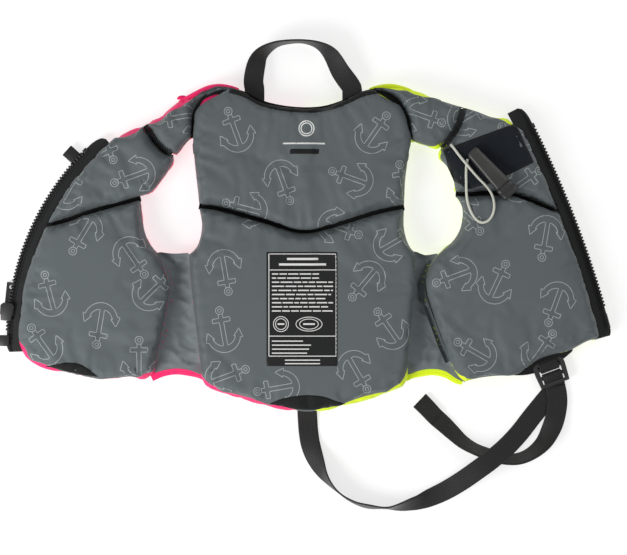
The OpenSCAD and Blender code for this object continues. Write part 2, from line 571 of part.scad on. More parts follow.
lanyard_route = [[145.5, 155.5, 31.5, 0], [149, 151, 33, 0], [154, 144, 35, 0], [160, 136.5, 36.6, 0],
    [166, 129.5, 35.2, 0],
    [173, 122, 33, 0], [180, 115, 32.4, 0], [185.5, 108, 31.8, 0], [188.5, 100, 31.4, 0],
        [189, 92, 31.4, 0],
    [187, 84.5, 31.4, 0], [182.5, 79, 31.4, 0], [176, 77.5, 31.4, 0], [170, 81.5, 31.4, 0],
        [165.5, 89, 31.4, 0],
    [162.5, 98, 31.4, 0], [161.3, 107, 31.6, 0], [161, 117, 32.6, 0], [160.8, 127, 33.2, 0],
        [161.2, 135, 33.6, 0],
    [162.3, 140.6, 35.7, 0]];
module whistle_lanyard() color(cream) swept(lanyard_route, cord_ring(cord_d), 1);

// ---- strap buckle ------------------------------------------------------------------------------

buckle_at = [245.9 * kx, -64.3 * ky];
buckle_turn = 20;
bar_radius = bar_t / 2;
loop_in = bar_radius + fit_gap;
loop_out = loop_in + webbing_t;
buckle_z = loop_out + webbing_t + 0.5;
keeper_y = -4.3;
middle_y = keeper_y - 2 * loop_out - 0.6;
lip_y = middle_y - loop_out - 2.2;
frame_half = webbing_w / 2 + 1.5;
tab_root = 6.8;
module at_buckle() translate([buckle_at[0], buckle_at[1], buckle_z]) rotate(buckle_turn) children();
module cross_bar(y) translate([-frame_half - 1, y, 0]) rotate([0, 90, 0]) cylinder(r = bar_radius,
    h = 2 * frame_half + 2, $fn = 32);
module web_loop(y) translate([-webbing_w / 2, y, 0]) rotate([0, 90, 0]) difference() {
    cylinder(r = loop_out, h = webbing_w, $fn = 48);
    translate([0, 0, -1]) cylinder(r = loop_in, h = webbing_w + 2, $fn = 48);
}
module strap_buckle() color(black) at_buckle() union() {
    translate([0, 0, -bar_t / 2]) linear_extrude(bar_t) difference() {
        polygon(outline([[-frame_half - rail_w, -3], [-frame_half - 2.5, 1.5], [-9, 4.2], [0, 5.4],
            [9, 4.2],
            [frame_half + 2.5, 1.5], [frame_half + rail_w, -3],
                [frame_half + rail_w - 1.5, lip_y - lip_len * 0.45, 1],
            [-frame_half - rail_w + 1.5, lip_y - lip_len * 0.45, 1]]));
        polygon([[-frame_half, lip_y], [frame_half, lip_y], [frame_half, -1.5], [8, 0.6], [0, 1.3],
            [-8, 0.6], [-frame_half, -1.5]]);
    }
    cross_bar(keeper_y);
    cross_bar(middle_y);
}
module buckle_tab() color(black) at_buckle() union() {
    web_loop(keeper_y);
    translate([-webbing_w / 2, keeper_y, -loop_out]) cube([webbing_w, tab_root - keeper_y, webbing_t]);
}
wrap_end = lip_y - lip_len * 0.45 - 0.8;
module strap_wrap() color(black) at_buckle() union() {
    web_loop(middle_y);
    translate([-webbing_w / 2, wrap_end, -loop_out]) cube([webbing_w, middle_y - wrap_end, webbing_t]);
    translate([-webbing_w / 2, wrap_end, -loop_out - webbing_t]) cube([webbing_w, middle_y - wrap_end,
        webbing_t + 0.01]);
}

back_shell_pink();
back_shell_yellow();
back_foam_upper();
back_foam_lower();
back_liner_upper();
back_liner_lower();
back_groove_strip();
neck_binding();
care_label();
back_strap_patch();
handle_bar_tacks();
leg_strap_back();
grab_handle();
left_upper_shell();
left_lower_shell();
left_shoulder_foam();
left_upper_foam();
left_lower_foam();
left_shoulder_liner();
left_upper_liner();
left_lower_liner();
left_groove_strip();
left_side_panel();
left_side_shell();
left_side_hem();
left_strap_patch();
left_ribbon_loop();
left_zip_tape();
left_zip_teeth();
left_zip_stop();
left_zip_box();
zip_slider();
zip_pull();
right_upper_shell();
right_lower_shell();
right_shoulder_foam();
right_upper_foam();
right_lower_foam();
right_shoulder_liner();
right_upper_liner();
right_lower_liner();
right_groove_strip();
right_side_panel();
right_side_shell();
right_side_hem();
right_strap_patch();
right_zip_tape();
right_zip_teeth();
right_zip_stop();
right_zip_pin();
whistle_pocket();
buckle_tab();
leg_strap_front();
leg_strap_tail();
whistle_lanyard();
strap_buckle();
strap_wrap();
whistle();
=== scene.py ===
"""Child's life jacket, laid open on its outside: camera, materials, leg strap, padded panels, trims,
side panels, zip, webbing loops, patches, whistle, label, prints and stage.
Lengths are metres; MM turns millimetres into them."""

import json
import math
import random

import bmesh
import bpy
import numpy as np
from mathutils import Vector, geometry, noise
from mathutils.bvhtree import BVHTree
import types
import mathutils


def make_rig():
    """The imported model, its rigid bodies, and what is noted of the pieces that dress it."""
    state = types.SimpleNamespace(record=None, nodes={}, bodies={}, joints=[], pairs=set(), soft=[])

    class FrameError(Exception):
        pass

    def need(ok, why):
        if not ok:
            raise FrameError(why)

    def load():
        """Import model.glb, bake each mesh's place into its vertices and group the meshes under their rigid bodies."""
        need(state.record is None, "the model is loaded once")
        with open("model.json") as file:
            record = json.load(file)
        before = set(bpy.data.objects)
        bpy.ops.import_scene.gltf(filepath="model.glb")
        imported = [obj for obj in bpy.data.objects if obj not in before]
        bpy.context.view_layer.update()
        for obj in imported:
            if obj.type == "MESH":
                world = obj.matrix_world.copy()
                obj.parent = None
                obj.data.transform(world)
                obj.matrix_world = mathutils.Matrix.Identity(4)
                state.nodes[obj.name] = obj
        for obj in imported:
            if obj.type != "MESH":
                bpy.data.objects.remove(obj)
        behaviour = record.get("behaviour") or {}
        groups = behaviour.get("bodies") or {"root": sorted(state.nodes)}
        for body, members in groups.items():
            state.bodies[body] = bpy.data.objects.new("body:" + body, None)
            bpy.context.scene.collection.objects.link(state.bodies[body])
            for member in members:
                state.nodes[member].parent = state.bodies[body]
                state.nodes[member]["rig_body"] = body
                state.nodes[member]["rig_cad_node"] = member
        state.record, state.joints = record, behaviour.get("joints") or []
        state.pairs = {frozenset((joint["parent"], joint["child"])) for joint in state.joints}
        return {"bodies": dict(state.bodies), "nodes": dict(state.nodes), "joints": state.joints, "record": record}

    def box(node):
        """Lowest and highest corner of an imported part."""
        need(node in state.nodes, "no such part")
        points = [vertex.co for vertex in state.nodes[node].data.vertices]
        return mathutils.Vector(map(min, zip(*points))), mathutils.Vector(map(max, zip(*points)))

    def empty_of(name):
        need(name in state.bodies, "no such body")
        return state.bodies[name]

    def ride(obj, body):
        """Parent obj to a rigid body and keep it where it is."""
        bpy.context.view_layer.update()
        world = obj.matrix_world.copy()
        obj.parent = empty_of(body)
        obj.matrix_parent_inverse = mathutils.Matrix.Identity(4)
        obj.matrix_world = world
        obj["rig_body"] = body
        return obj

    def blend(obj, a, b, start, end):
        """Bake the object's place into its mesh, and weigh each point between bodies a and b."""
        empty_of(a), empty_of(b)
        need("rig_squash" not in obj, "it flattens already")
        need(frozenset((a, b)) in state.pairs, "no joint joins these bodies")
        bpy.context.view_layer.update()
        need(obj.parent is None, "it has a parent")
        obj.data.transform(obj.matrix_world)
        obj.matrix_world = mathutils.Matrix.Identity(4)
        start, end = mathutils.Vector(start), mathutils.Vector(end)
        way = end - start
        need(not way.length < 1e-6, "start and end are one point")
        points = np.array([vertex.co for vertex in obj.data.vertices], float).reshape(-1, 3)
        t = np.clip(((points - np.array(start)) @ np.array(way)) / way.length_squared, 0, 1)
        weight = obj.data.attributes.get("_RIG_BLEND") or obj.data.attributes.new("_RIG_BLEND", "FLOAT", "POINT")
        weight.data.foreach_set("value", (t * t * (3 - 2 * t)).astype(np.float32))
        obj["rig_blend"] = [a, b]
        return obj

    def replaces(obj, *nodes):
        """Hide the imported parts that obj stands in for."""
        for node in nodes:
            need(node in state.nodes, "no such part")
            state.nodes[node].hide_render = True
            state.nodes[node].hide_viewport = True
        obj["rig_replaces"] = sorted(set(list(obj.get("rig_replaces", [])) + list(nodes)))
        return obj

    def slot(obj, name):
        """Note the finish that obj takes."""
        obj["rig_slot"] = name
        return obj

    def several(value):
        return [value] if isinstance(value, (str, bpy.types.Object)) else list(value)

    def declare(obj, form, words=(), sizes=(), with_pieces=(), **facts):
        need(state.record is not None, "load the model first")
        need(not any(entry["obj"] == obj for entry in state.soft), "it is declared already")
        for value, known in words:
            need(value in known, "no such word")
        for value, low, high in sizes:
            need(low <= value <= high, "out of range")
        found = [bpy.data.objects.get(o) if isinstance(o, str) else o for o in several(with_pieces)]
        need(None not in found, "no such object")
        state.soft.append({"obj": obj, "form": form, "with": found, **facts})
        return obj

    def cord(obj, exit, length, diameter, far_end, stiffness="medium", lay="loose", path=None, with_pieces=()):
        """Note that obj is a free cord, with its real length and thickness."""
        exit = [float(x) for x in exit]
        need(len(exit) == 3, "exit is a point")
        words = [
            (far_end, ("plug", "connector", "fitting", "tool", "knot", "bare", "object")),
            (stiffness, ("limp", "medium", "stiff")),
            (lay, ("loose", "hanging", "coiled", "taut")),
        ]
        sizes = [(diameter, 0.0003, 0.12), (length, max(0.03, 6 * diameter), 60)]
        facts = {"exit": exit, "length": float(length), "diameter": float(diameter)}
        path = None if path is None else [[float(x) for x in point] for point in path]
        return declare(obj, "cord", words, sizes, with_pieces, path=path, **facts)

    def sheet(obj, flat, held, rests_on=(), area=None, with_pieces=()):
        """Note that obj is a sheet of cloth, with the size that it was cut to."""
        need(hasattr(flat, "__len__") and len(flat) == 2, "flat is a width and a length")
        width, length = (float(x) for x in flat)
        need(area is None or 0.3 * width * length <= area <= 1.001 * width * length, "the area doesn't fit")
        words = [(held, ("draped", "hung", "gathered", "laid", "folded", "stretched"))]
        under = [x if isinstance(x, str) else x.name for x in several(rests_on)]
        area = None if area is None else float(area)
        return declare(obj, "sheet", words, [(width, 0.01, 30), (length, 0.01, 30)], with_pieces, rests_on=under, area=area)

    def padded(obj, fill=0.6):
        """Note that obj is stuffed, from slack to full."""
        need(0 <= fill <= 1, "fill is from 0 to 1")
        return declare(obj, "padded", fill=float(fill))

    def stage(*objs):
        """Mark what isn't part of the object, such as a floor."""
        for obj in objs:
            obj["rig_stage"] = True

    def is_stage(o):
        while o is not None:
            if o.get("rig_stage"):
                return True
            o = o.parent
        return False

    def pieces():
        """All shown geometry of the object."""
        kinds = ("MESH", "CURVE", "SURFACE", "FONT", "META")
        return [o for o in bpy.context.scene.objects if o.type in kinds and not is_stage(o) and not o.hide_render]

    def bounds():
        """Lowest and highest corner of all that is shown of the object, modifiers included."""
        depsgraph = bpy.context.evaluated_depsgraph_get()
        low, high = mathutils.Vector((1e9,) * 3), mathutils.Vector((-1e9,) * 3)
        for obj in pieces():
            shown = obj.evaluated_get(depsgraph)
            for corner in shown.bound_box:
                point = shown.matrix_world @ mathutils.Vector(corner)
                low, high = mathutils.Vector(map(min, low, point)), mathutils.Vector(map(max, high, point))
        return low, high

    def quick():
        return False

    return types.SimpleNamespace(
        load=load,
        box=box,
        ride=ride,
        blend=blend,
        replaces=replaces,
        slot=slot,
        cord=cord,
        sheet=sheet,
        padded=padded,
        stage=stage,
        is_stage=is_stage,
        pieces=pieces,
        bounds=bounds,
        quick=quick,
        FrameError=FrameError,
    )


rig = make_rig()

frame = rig.load()
CAD_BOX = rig.bounds()
MM = 0.001
UP = Vector((0, 0, 1))


# ---- camera ----

def add_camera():
    """Straight down on the open jacket, through a long lens."""
    data = bpy.data.cameras.new("camera")
    data.lens = 100
    data.sensor_width = 36
    seen_width = 0.627
    camera = bpy.data.objects.new("camera", data)
    camera.location = (0.0085, 0.0225, 0.03 + seen_width * data.lens / data.sensor_width)
    bpy.context.scene.collection.objects.link(camera)
    bpy.context.scene.camera = camera


add_camera()


# ---- node material helpers ----

class Shader:
    """Builds one node material: each method adds a node and returns the socket that it gives."""

    def __init__(self, name, color, roughness, specular=0.5, sheen=0.0):
        self.material = bpy.data.materials.new(name)
        self.material.use_nodes = True
        self.tree = self.material.node_tree
        self.skin = self.tree.nodes["Principled BSDF"]
        self.skin.inputs["Base Color"].default_value = (*color, 1)
        self.skin.inputs["Roughness"].default_value = roughness
        self.skin.inputs["Specular IOR Level"].default_value = specular
        self.skin.inputs["Sheen Weight"].default_value = sheen
        self.skin.inputs["Sheen Roughness"].default_value = 0.4
        self.color = color
        self.height = None

    def node(self, kind, **settings):
        made = self.tree.nodes.new(kind)
        for key, value in settings.items():
            setattr(made, key, value)
        return made

    def link(self, source, target):
        self.tree.links.new(source, target)

    def place(self):
        return self.node("ShaderNodeTexCoord").outputs["Object"]

    def attribute(self, name):
        return self.node("ShaderNodeAttribute", attribute_name=name).outputs["Vector"]

    def stretched(self, vector, scale, turn=0.0):
        mapping = self.node("ShaderNodeMapping")
        mapping.inputs["Scale"].default_value = scale
        mapping.inputs["Rotation"].default_value = (0, 0, turn)
        self.link(vector, mapping.inputs["Vector"])
        return mapping.outputs["Vector"]

    def noise(self, vector, scale, detail=3.0):
        made = self.node("ShaderNodeTexNoise")
        made.inputs["Scale"].default_value = scale
        made.inputs["Detail"].default_value = detail
        self.link(vector, made.inputs["Vector"])
        return made.outputs["Fac"]

    def waves(self, vector, scale, direction="X", distortion=0.0):
        made = self.node("ShaderNodeTexWave", wave_type="BANDS", bands_direction=direction)
        made.inputs["Scale"].default_value = scale
        made.inputs["Distortion"].default_value = distortion
        self.link(vector, made.inputs["Vector"])
        return made.outputs["Fac"]

    def math(self, operation, a, b):
        made = self.node("ShaderNodeMath", operation=operation)
        for socket, value in zip(made.inputs, (a, b)):
            if isinstance(value, (int, float)):
                socket.default_value = value
            else:
                self.link(value, socket)
        return made.outputs["Value"]

    def ranged(self, value, low, high):
        made = self.node("ShaderNodeMapRange")
        made.inputs["To Min"].default_value = low
        made.inputs["To Max"].default_value = high
        self.link(value, made.inputs["Value"])
        return made.outputs["Result"]

    def tint(self, value, dark, light):
        """Base colour runs from dark to light shares of the material's own colour."""
        mix = self.node("ShaderNodeMix", data_type="RGBA")
        mix.inputs["A"].default_value = (*[c * dark for c in self.color], 1)
        mix.inputs["B"].default_value = (*[min(1, c * light) for c in self.color], 1)
        self.link(value, mix.inputs["Factor"])
        self.link(mix.outputs["Result"], self.skin.inputs["Base Color"])

    def rough(self, value, low, high):
        self.link(self.ranged(value, low, high), self.skin.inputs["Roughness"])

    def bump(self, value, depth):
        made = self.node("ShaderNodeBump")
        made.inputs["Strength"].default_value = 1.0
        made.inputs["Distance"].default_value = depth
        self.link(value, made.inputs["Height"])
        if self.height is not None:
            self.link(self.height, made.inputs["Normal"])
        self.height = made.outputs["Normal"]
        self.link(self.height, self.skin.inputs["Normal"])


# Scale of a wave texture whose light and dark bands are each one metre wide.
BAND_SCALE = 0.16


def bands(width):
    """Scale of a wave texture with bands of the given width."""
    return BAND_SCALE / width


def woven(name, color, thread, depth, roughness, sheen, mottle=0.08, specular=0.3):
    """Plain weave: two sets of threads crossing, with a soft uneven tint."""
    s = Shader(name, color, roughness, specular, sheen)
    place = s.place()
    across = s.waves(place, bands(thread), "X", 0.4)
    along = s.waves(place, bands(thread), "Y", 0.4)
    s.bump(s.math("MULTIPLY", across, along), depth)
    patches = s.noise(place, 9, 4)
    threads = s.noise(s.stretched(place, (1, 5, 1)), 900, 1)
    s.tint(s.math("ADD", s.math("MULTIPLY", patches, 0.7), s.math("MULTIPLY", threads, 0.3)),
           1 - mottle, 1 + mottle)
    s.rough(patches, roughness - 0.06, roughness + 0.06)
    return s.material


def webbing_cloth(name, color):
    """Narrow woven webbing: a chevron rib that runs along it, read from its own strip coordinates."""
    s = Shader(name, color, 0.62, 0.35, 0.25)
    strip = s.attribute("strip")
    ribs = s.waves(strip, bands(1.0 * MM), "Y", 0.0)
    cords = s.waves(strip, bands(1.6 * MM), "X", 0.0)
    twill = s.waves(s.stretched(strip, (1, 1, 1), math.radians(32)), bands(0.9 * MM), "X", 0.3)
    s.bump(s.math("MULTIPLY", ribs, cords), 0.16 * MM)
    s.bump(twill, 0.08 * MM)
    s.tint(s.math("MULTIPLY", twill, s.math("ADD", 0.4, s.math("MULTIPLY", ribs, 0.6))), 0.7, 2.1)
    s.rough(ribs, 0.52, 0.7)
    return s.material


def moulded(name, color, roughness):
    """Injection-moulded plastic with a faint spark-eroded grain and mottled wear in its tint and gloss."""
    s = Shader(name, color, roughness, 0.5)
    place = s.place()
    s.bump(s.noise(place, 1800, 2), 0.05 * MM)
    wear = s.noise(place, 60, 5)
    s.tint(wear, 0.8, 1.35)
    s.rough(wear, roughness - 0.08, roughness + 0.1)
    return s.material


def braided(name, color):
    """Thin braided cord: strands crossing round it."""
    s = Shader(name, color, 0.7, 0.3, 0.3)
    strip = s.attribute("strip")
    right = s.waves(s.stretched(strip, (1, 1, 1), math.radians(40)), bands(0.8 * MM))
    left = s.waves(s.stretched(strip, (1, 1, 1), math.radians(-40)), bands(0.8 * MM))
    braid = s.math("MULTIPLY", right, left)
    s.bump(braid, 0.14 * MM)
    s.tint(braid, 0.72, 1.1)
    return s.material


def ribbed_tape(name, color):
    """Zip tape: fine ribs that run along it, and a thicker cord band beside the teeth."""
    s = Shader(name, color, 0.66, 0.3, 0.2)
    strip = s.attribute("strip")
    ribs = s.waves(strip, bands(1.1 * MM), "X", 0.1)
    weft = s.waves(strip, bands(0.7 * MM), "Y", 0.1)
    s.bump(ribs, 0.12 * MM)
    s.bump(weft, 0.05 * MM)
    s.tint(ribs, 0.75, 1.8)
    return s.material


def printed(name, color, roughness=0.6):
    """Screen print: thin ink that lets the weave through."""
    s = Shader(name, color, roughness, 0.3)
    ink = s.noise(s.place(), 700, 3)
    s.tint(ink, 0.86, 1.06)
    s.bump(ink, 0.02 * MM)
    return s.material


MATERIALS = {
    "lining": woven("lining", (0.098, 0.114, 0.120), 0.5 * MM, 0.03 * MM, 0.62, 0.12),
    # The side panels' lining: the lining's colour, half as light again. This is painted light that makes up for the
    # shade where the side panels sit low.
    "side_cloth": woven("side_cloth", (0.150, 0.172, 0.180), 0.5 * MM, 0.03 * MM, 0.6, 0.12),
    "shell_pink": woven("shell_pink", (1.0, 0.022, 0.165), 0.4 * MM, 0.02 * MM, 0.5, 0.05, 0.05),
    "shell_yellow": woven("shell_yellow", (0.80, 1.0, 0.014), 0.4 * MM, 0.02 * MM, 0.5, 0.05, 0.04),
    "pocket_cloth": woven("pocket_cloth", (0.0095, 0.0125, 0.017), 0.9 * MM, 0.06 * MM, 0.85, 0.2,
                          0.25, 0.15),
    "black_cloth": woven("black_cloth", (0.009, 0.0094, 0.0098), 0.7 * MM, 0.05 * MM, 0.75, 0.1, 0.2, 0.2),
    "label_cloth": woven("label_cloth", (0.009, 0.0093, 0.0095), 0.3 * MM, 0.01 * MM, 0.45, 0.0, 0.1),
    "webbing": webbing_cloth("webbing", (0.0082, 0.0082, 0.0085)),
    "zip_tape": ribbed_tape("zip_tape", (0.0075, 0.008, 0.0085)),
    "zip_teeth": moulded("zip_teeth", (0.012, 0.012, 0.013), 0.42),
    "black_plastic": moulded("black_plastic", (0.02, 0.02, 0.021), 0.4),
    "whistle_plastic": moulded("whistle_plastic", (0.030, 0.029, 0.028), 0.36),
    "lanyard": braided("lanyard", (0.72, 0.72, 0.64)),
    "print": printed("print", (0.33, 0.36, 0.36)),
    "label_ink": printed("label_ink", (0.72, 0.73, 0.71)),
    "stitching": printed("stitching", (0.02, 0.021, 0.022), 0.7),
}
# Materials that share another's slot, because they are printed or sewn on it, or, for the side panels, are the lining
# itself made lighter as painted light.
PRINT_SLOT = {"side_cloth": "lining", "print": "lining", "label_ink": "label_cloth",
              "stitching": "webbing"}
# The outer cloth's colour on each side of the jacket.
SIDE_SHELL = {"left": "shell_pink", "right": "shell_yellow"}


# ---- mesh helpers ----

def piece(name, points, faces, material, smooth=True, strip=None):
    """A new mesh object with one material; strip gives each corner's place across and along a band."""
    mesh = bpy.data.meshes.new(name)
    mesh.from_pydata([tuple(p) for p in points], [], [tuple(f) for f in faces])
    if strip is not None:
        layer = mesh.attributes.new("strip", "FLOAT_VECTOR", "POINT")
        flat = [c for s in strip for c in (s[0], s[1], 0.0)]
        layer.data.foreach_set("vector", flat)
    mesh.materials.append(MATERIALS[material])
    mesh.validate()
    made = bpy.data.objects.new(name, mesh)
    bpy.context.scene.collection.objects.link(made)
    for polygon in mesh.polygons:
        polygon.use_smooth = smooth
    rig.slot(made, PRINT_SLOT.get(material, material))
    return made


def settle(made, body, *nodes):
    """The piece moves with a body and stands for the CAD nodes named."""
    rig.ride(made, body)
    if nodes:
        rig.replaces(made, *nodes)
    return made


def hermite_path(points, steps):
    """The route's own smooth line, with its heights and turns, as the CAD sweeps it."""
    values = [np.array(p, float) for p in points]
    last = len(values) - 1

    def slope(i):
        if i in (0, last):
            return values[min(i + 1, last)] - values[max(i - 1, 0)]
        return (values[i + 1] - values[i - 1]) / 2

    line = []
    for i in range(last):
        for k in range(steps):
            t = k / steps
            line.append((2 * t**3 - 3 * t**2 + 1) * values[i] + (t**3 - 2 * t**2 + t) * slope(i)
                        + (3 * t**2 - 2 * t**3) * values[i + 1] + (t**3 - t**2) * slope(i + 1))
    return line + [values[last]]


def even_path(line, spacing):
    """The same line with its points evenly spaced."""
    line = np.array(line)
    step = np.linalg.norm(np.diff(line[:, :3], axis=0), axis=1)
    run = np.concatenate([[0], np.cumsum(step)])
    count = max(2, int(round(run[-1] / spacing)))
    at = np.linspace(0, run[-1], count + 1)
    return np.stack([np.interp(at, run, line[:, k]) for k in range(line.shape[1])], axis=1), run[-1]


def flat_section(width, thickness):
    """Webbing's cross-section: flat faces, rolled selvedges."""
    half, t = width / 2, thickness / 2
    side = [(half - t * (1 - math.cos(a)), t * math.sin(a)) for a in np.linspace(-1.2, 1.2, 5)]
    face = [(x, t) for x in np.linspace(half - 1.6 * t, -half + 1.6 * t, 7)]
    return side + face + [(-x, -y) for x, y in side] + [(-x, -y) for x, y in face]


def round_section(diameter):
    """A cord's cross-section, with twelve sides."""
    turns = [2 * math.pi * k / 12 for k in range(12)]
    return [(diameter / 2 * math.cos(a), diameter / 2 * math.sin(a)) for a in turns]


def sweep(name, line, section, material, cap=True):
    """Sweeps a section along a line of (x, y, z, turn in degrees): level at turn 0, on edge at 90."""
    count, sides = len(line), len(section)
    points, strip, faces = [], [], []
    run = 0.0
    spots = [Vector(p[:3]) for p in line]
    around = [0.0]
    for a, b in zip(section, section[1:]):
        around.append(around[-1] + math.dist(a, b))
    for i, spot in enumerate(spots):
        along = (spots[min(i + 1, count - 1)] - spots[max(i - 1, 0)]).normalized()
        level = UP.cross(along).normalized()
        rise = along.cross(level)
        turn = math.radians(line[i][3])
        across = level * math.cos(turn) + rise * math.sin(turn)
        out = along.cross(across)
        if i:
            run += (spot - spots[i - 1]).length
        for q, w in zip(section, around):
            points.append(spot + across * q[0] + out * q[1])
            strip.append((w, run))
    for i in range(count - 1):
        for k in range(sides):
            a, b = i * sides + k, i * sides + (k + 1) % sides
            faces.append((a, b, b + sides, a + sides))
    if cap:
        faces.append(tuple(reversed(range(sides))))
        faces.append(tuple(range((count - 1) * sides, count * sides)))
    return piece(name, points, faces, material, strip=strip)


# ---- leg strap and lanyard ----

WEB_W, WEB_T = 20 * MM, 1.8 * MM
CORD_D = 2.6 * MM
WEB_STEP, CORD_STEP = 2.5 * MM, 1.5 * MM
# Where the right front folds, and how many steps the strap's hem is long.
FOLD_RIGHT = 112 * MM
HEM_STEPS = 11
# Routes repeat the CAD's: x, y, height in millimetres, and how far the webbing is turned on edge.
STRAP_BACK = [(2, -111.9, 4, 0), (2.5, -122, 1.6, 0), (3.5, -135, 1.2, 0), (6, -149, 2, 10),
              (12, -165, 5, 35), (21, -181, 9.5, 68), (33, -194, 11, 84), (48, -204, 11, 80),
              (64, -209, 10.5, 74), (82, -210.5, 10.7, 80), (97, -209.3, 9.4, 60), (108, -206.9, 8.1, 45)]
STRAP_FRONT = [(116, -204.9, 7.1, 36), (126, -201, 6.5, 20), (142, -193, 10, 8), (158, -182.5, 16, 3),
               (174, -170.5, 20.8, 0), (188, -160, 21.5, 0), (203, -147.5, 19, 0), (217, -134, 11.5, 0),
               (230, -119, 4, 0), (241, -106, 1.6, 0), (249.5, -95.5, 1.5, 0), (254, -87.1, 1.5, 0)]
TAIL = [(254.2, -87.1, 3.5, 0), (256, -97, 3.9, 0), (256, -107, 4.4, 0), (253.5, -120, 5.2, 3),
        (248.5, -133, 6.2, 25), (241, -145.5, 7.5, 45), (229, -155.5, 9.5, 58), (215, -161, 10, 62),
        (200, -160.5, 9.6, 60), (186, -156.5, 9.6, 58), (172, -151, 9.6, 58), (160, -144, 8.6, 50),
        (150, -135, 7.6, 40), (141, -126.5, 6.8, 32), (132, -118.5, 6.2, 28), (124, -110, 5.8, 25),
        (116, -102, 5.4, 22)]
LANYARD = [(145.5, 155.5, 31.5, 0), (149, 151, 33, 0), (154, 144, 35, 0), (160, 136.5, 36.6, 0),
           (166, 129.5, 35.2, 0), (173, 122, 33, 0), (180, 115, 32.4, 0), (185.5, 108, 31.8, 0),
           (188.5, 100, 31.4, 0), (189, 92, 31.4, 0), (187, 84.5, 31.4, 0), (182.5, 79, 31.4, 0),
           (176, 77.5, 31.4, 0), (170, 81.5, 31.4, 0), (165.5, 89, 31.4, 0), (162.5, 98, 31.4, 0),
           (161.3, 107, 31.6, 0), (161, 117, 32.6, 0), (160.8, 127, 33.2, 0), (161.2, 135, 33.6, 0),
           (162.3, 140.6, 35.7, 0)]


def route(points, spacing):
    """A listed route in metres, evenly spaced; its turn stays in degrees."""
    scaled = [(x * MM, y * MM, z * MM, turn) for x, y, z, turn in points]
    return even_path(hermite_path(scaled, 12), spacing)


def follow_buckle(made, line, reach):
    """The piece bends over the first stretch of a line that starts at the buckle."""
    near, far = line[0], line[min(int(reach / WEB_STEP), len(line) - 1)]
    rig.blend(made, "right_front", "strap_buckle", start=far[:3], end=near[:3])


def add_leg_strap():
    """Two lengths that meet where the right front folds, as each length bends across one joint only."""
    line, length = route(STRAP_BACK + [(112, -206, 7.6, 40)] + STRAP_FRONT, WEB_STEP)
    cut = next(i for i, p in enumerate(line) if p[0] >= FOLD_RIGHT)
    for name, part, node in (("leg_strap", line[:cut + 2], "leg_strap_back"),
                             ("leg_strap_end", line[cut:], "leg_strap_front")):
        strap = sweep(name, part, flat_section(WEB_W, WEB_T), "webbing", cap=False)
        if name == "leg_strap":
            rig.blend(strap, "back", "right_front", start=(FOLD_RIGHT - 0.055, -0.2, 0.01),
                     end=(FOLD_RIGHT - 0.004, -0.2, 0.01))
        else:
            follow_buckle(strap, part[::-1], 95 * MM)
        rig.replaces(strap, node)
        share = length * (len(part) - 1) / (len(line) - 1)
        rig.cord(strap, exit=part[0][:3], length=share, diameter=WEB_W, far_end="object", stiffness="medium",
                lay="loose", path=[p[:3] for p in part])


def add_strap_tail():
    """The strap's free end below the buckle, with its folded hem."""
    line, length = route(TAIL, WEB_STEP)
    tail = sweep("leg_strap_tail_web", line, flat_section(WEB_W, WEB_T), "webbing")
    follow_buckle(tail, line, 80 * MM)
    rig.replaces(tail, "leg_strap_tail")
    hem_line = [(x, y, z + WEB_T * 0.9, turn) for x, y, z, turn in line[-HEM_STEPS:]]
    hem = sweep("strap_tail_hem", hem_line, flat_section(WEB_W * 0.985, WEB_T), "webbing")
    settle(hem, "right_front")
    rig.cord(tail, exit=line[0][:3], length=length, diameter=WEB_W, far_end="fitting", stiffness="medium",
            lay="loose", path=[p[:3] for p in line], with_pieces=[hem])


def add_lanyard(whistle):
    """The whistle's cord, from the shoulder seam to the whistle's eye."""
    line, length = route(LANYARD, CORD_STEP)
    cord = sweep("lanyard_cord", line, round_section(CORD_D), "lanyard")
    settle(cord, "right_front", "whistle_lanyard")
    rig.cord(cord, exit=line[0][:3], length=length, diameter=CORD_D, far_end="tool", stiffness="limp",
            lay="loose", path=[p[:3] for p in line], with_pieces=[whistle])


add_leg_strap()
add_strap_tail()


# ---- outlines taken from the CAD's flat pieces ----

def top_loops(node):
    """The outlines of a flat CAD node's upper face, longest first, as arrays of (x, y)."""
    mesh = frame["nodes"][node].data
    high = max(v.co.z for v in mesh.vertices)
    key = {v.index: (round(v.co.x, 6), round(v.co.y, 6)) for v in mesh.vertices if v.co.z > high - 1e-5}
    used = {}
    for polygon in mesh.polygons:
        if all(i in key for i in polygon.vertices):
            ring = [key[i] for i in polygon.vertices]
            for a, b in zip(ring, ring[1:] + ring[:1]):
                used[(a, b)] = used.get((a, b), 0) + 1
    after = {a: b for (a, b) in used if (b, a) not in used}
    loops = []
    while after:
        first, _ = next(iter(after.items()))
        loop, at = [], first
        while at in after:
            loop.append(at)
            at = after.pop(at)
        loops.append(np.array(loop))
    return sorted(loops, key=len, reverse=True)


def even_loop(loop, spacing):
    """A closed outline with evenly spaced points."""
    closed = np.vstack([loop, loop[:1]])
    return even_path(closed, spacing)[0][:-1]


def is_inside(points, loop):
    """For each point, whether it lies inside the outline."""
    x, y = points[:, 0], points[:, 1]
    inside = np.zeros(len(points), bool)
    for a, b in zip(loop, np.roll(loop, -1, axis=0)):
        spans = (a[1] > y) != (b[1] > y)
        rise = b[1] - a[1] if b[1] != a[1] else 1e-12
        inside ^= spans & (x < (b[0] - a[0]) * (y - a[1]) / rise + a[0])
    return inside


def edge_field(points, loop):
    """For each point: its distance to the outline, the nearest outline point, and how far round that is."""
    ends = np.roll(loop, -1, axis=0)
    best = np.full(len(points), 1e9)
    near = np.zeros((len(points), 2))
    round_at = np.zeros(len(points))
    run = 0.0
    for a, b in zip(loop, ends):
        ab = b - a
        length = np.linalg.norm(ab)
        t = np.clip(((points - a) @ ab) / max(length**2, 1e-16), 0, 1)
        foot = a + t[:, None] * ab
        d = np.linalg.norm(points - foot, axis=1)
        closer = d < best
        best[closer], near[closer] = d[closer], foot[closer]
        round_at[closer] = run + t[closer] * length
        run += length
    return best, near, round_at, run


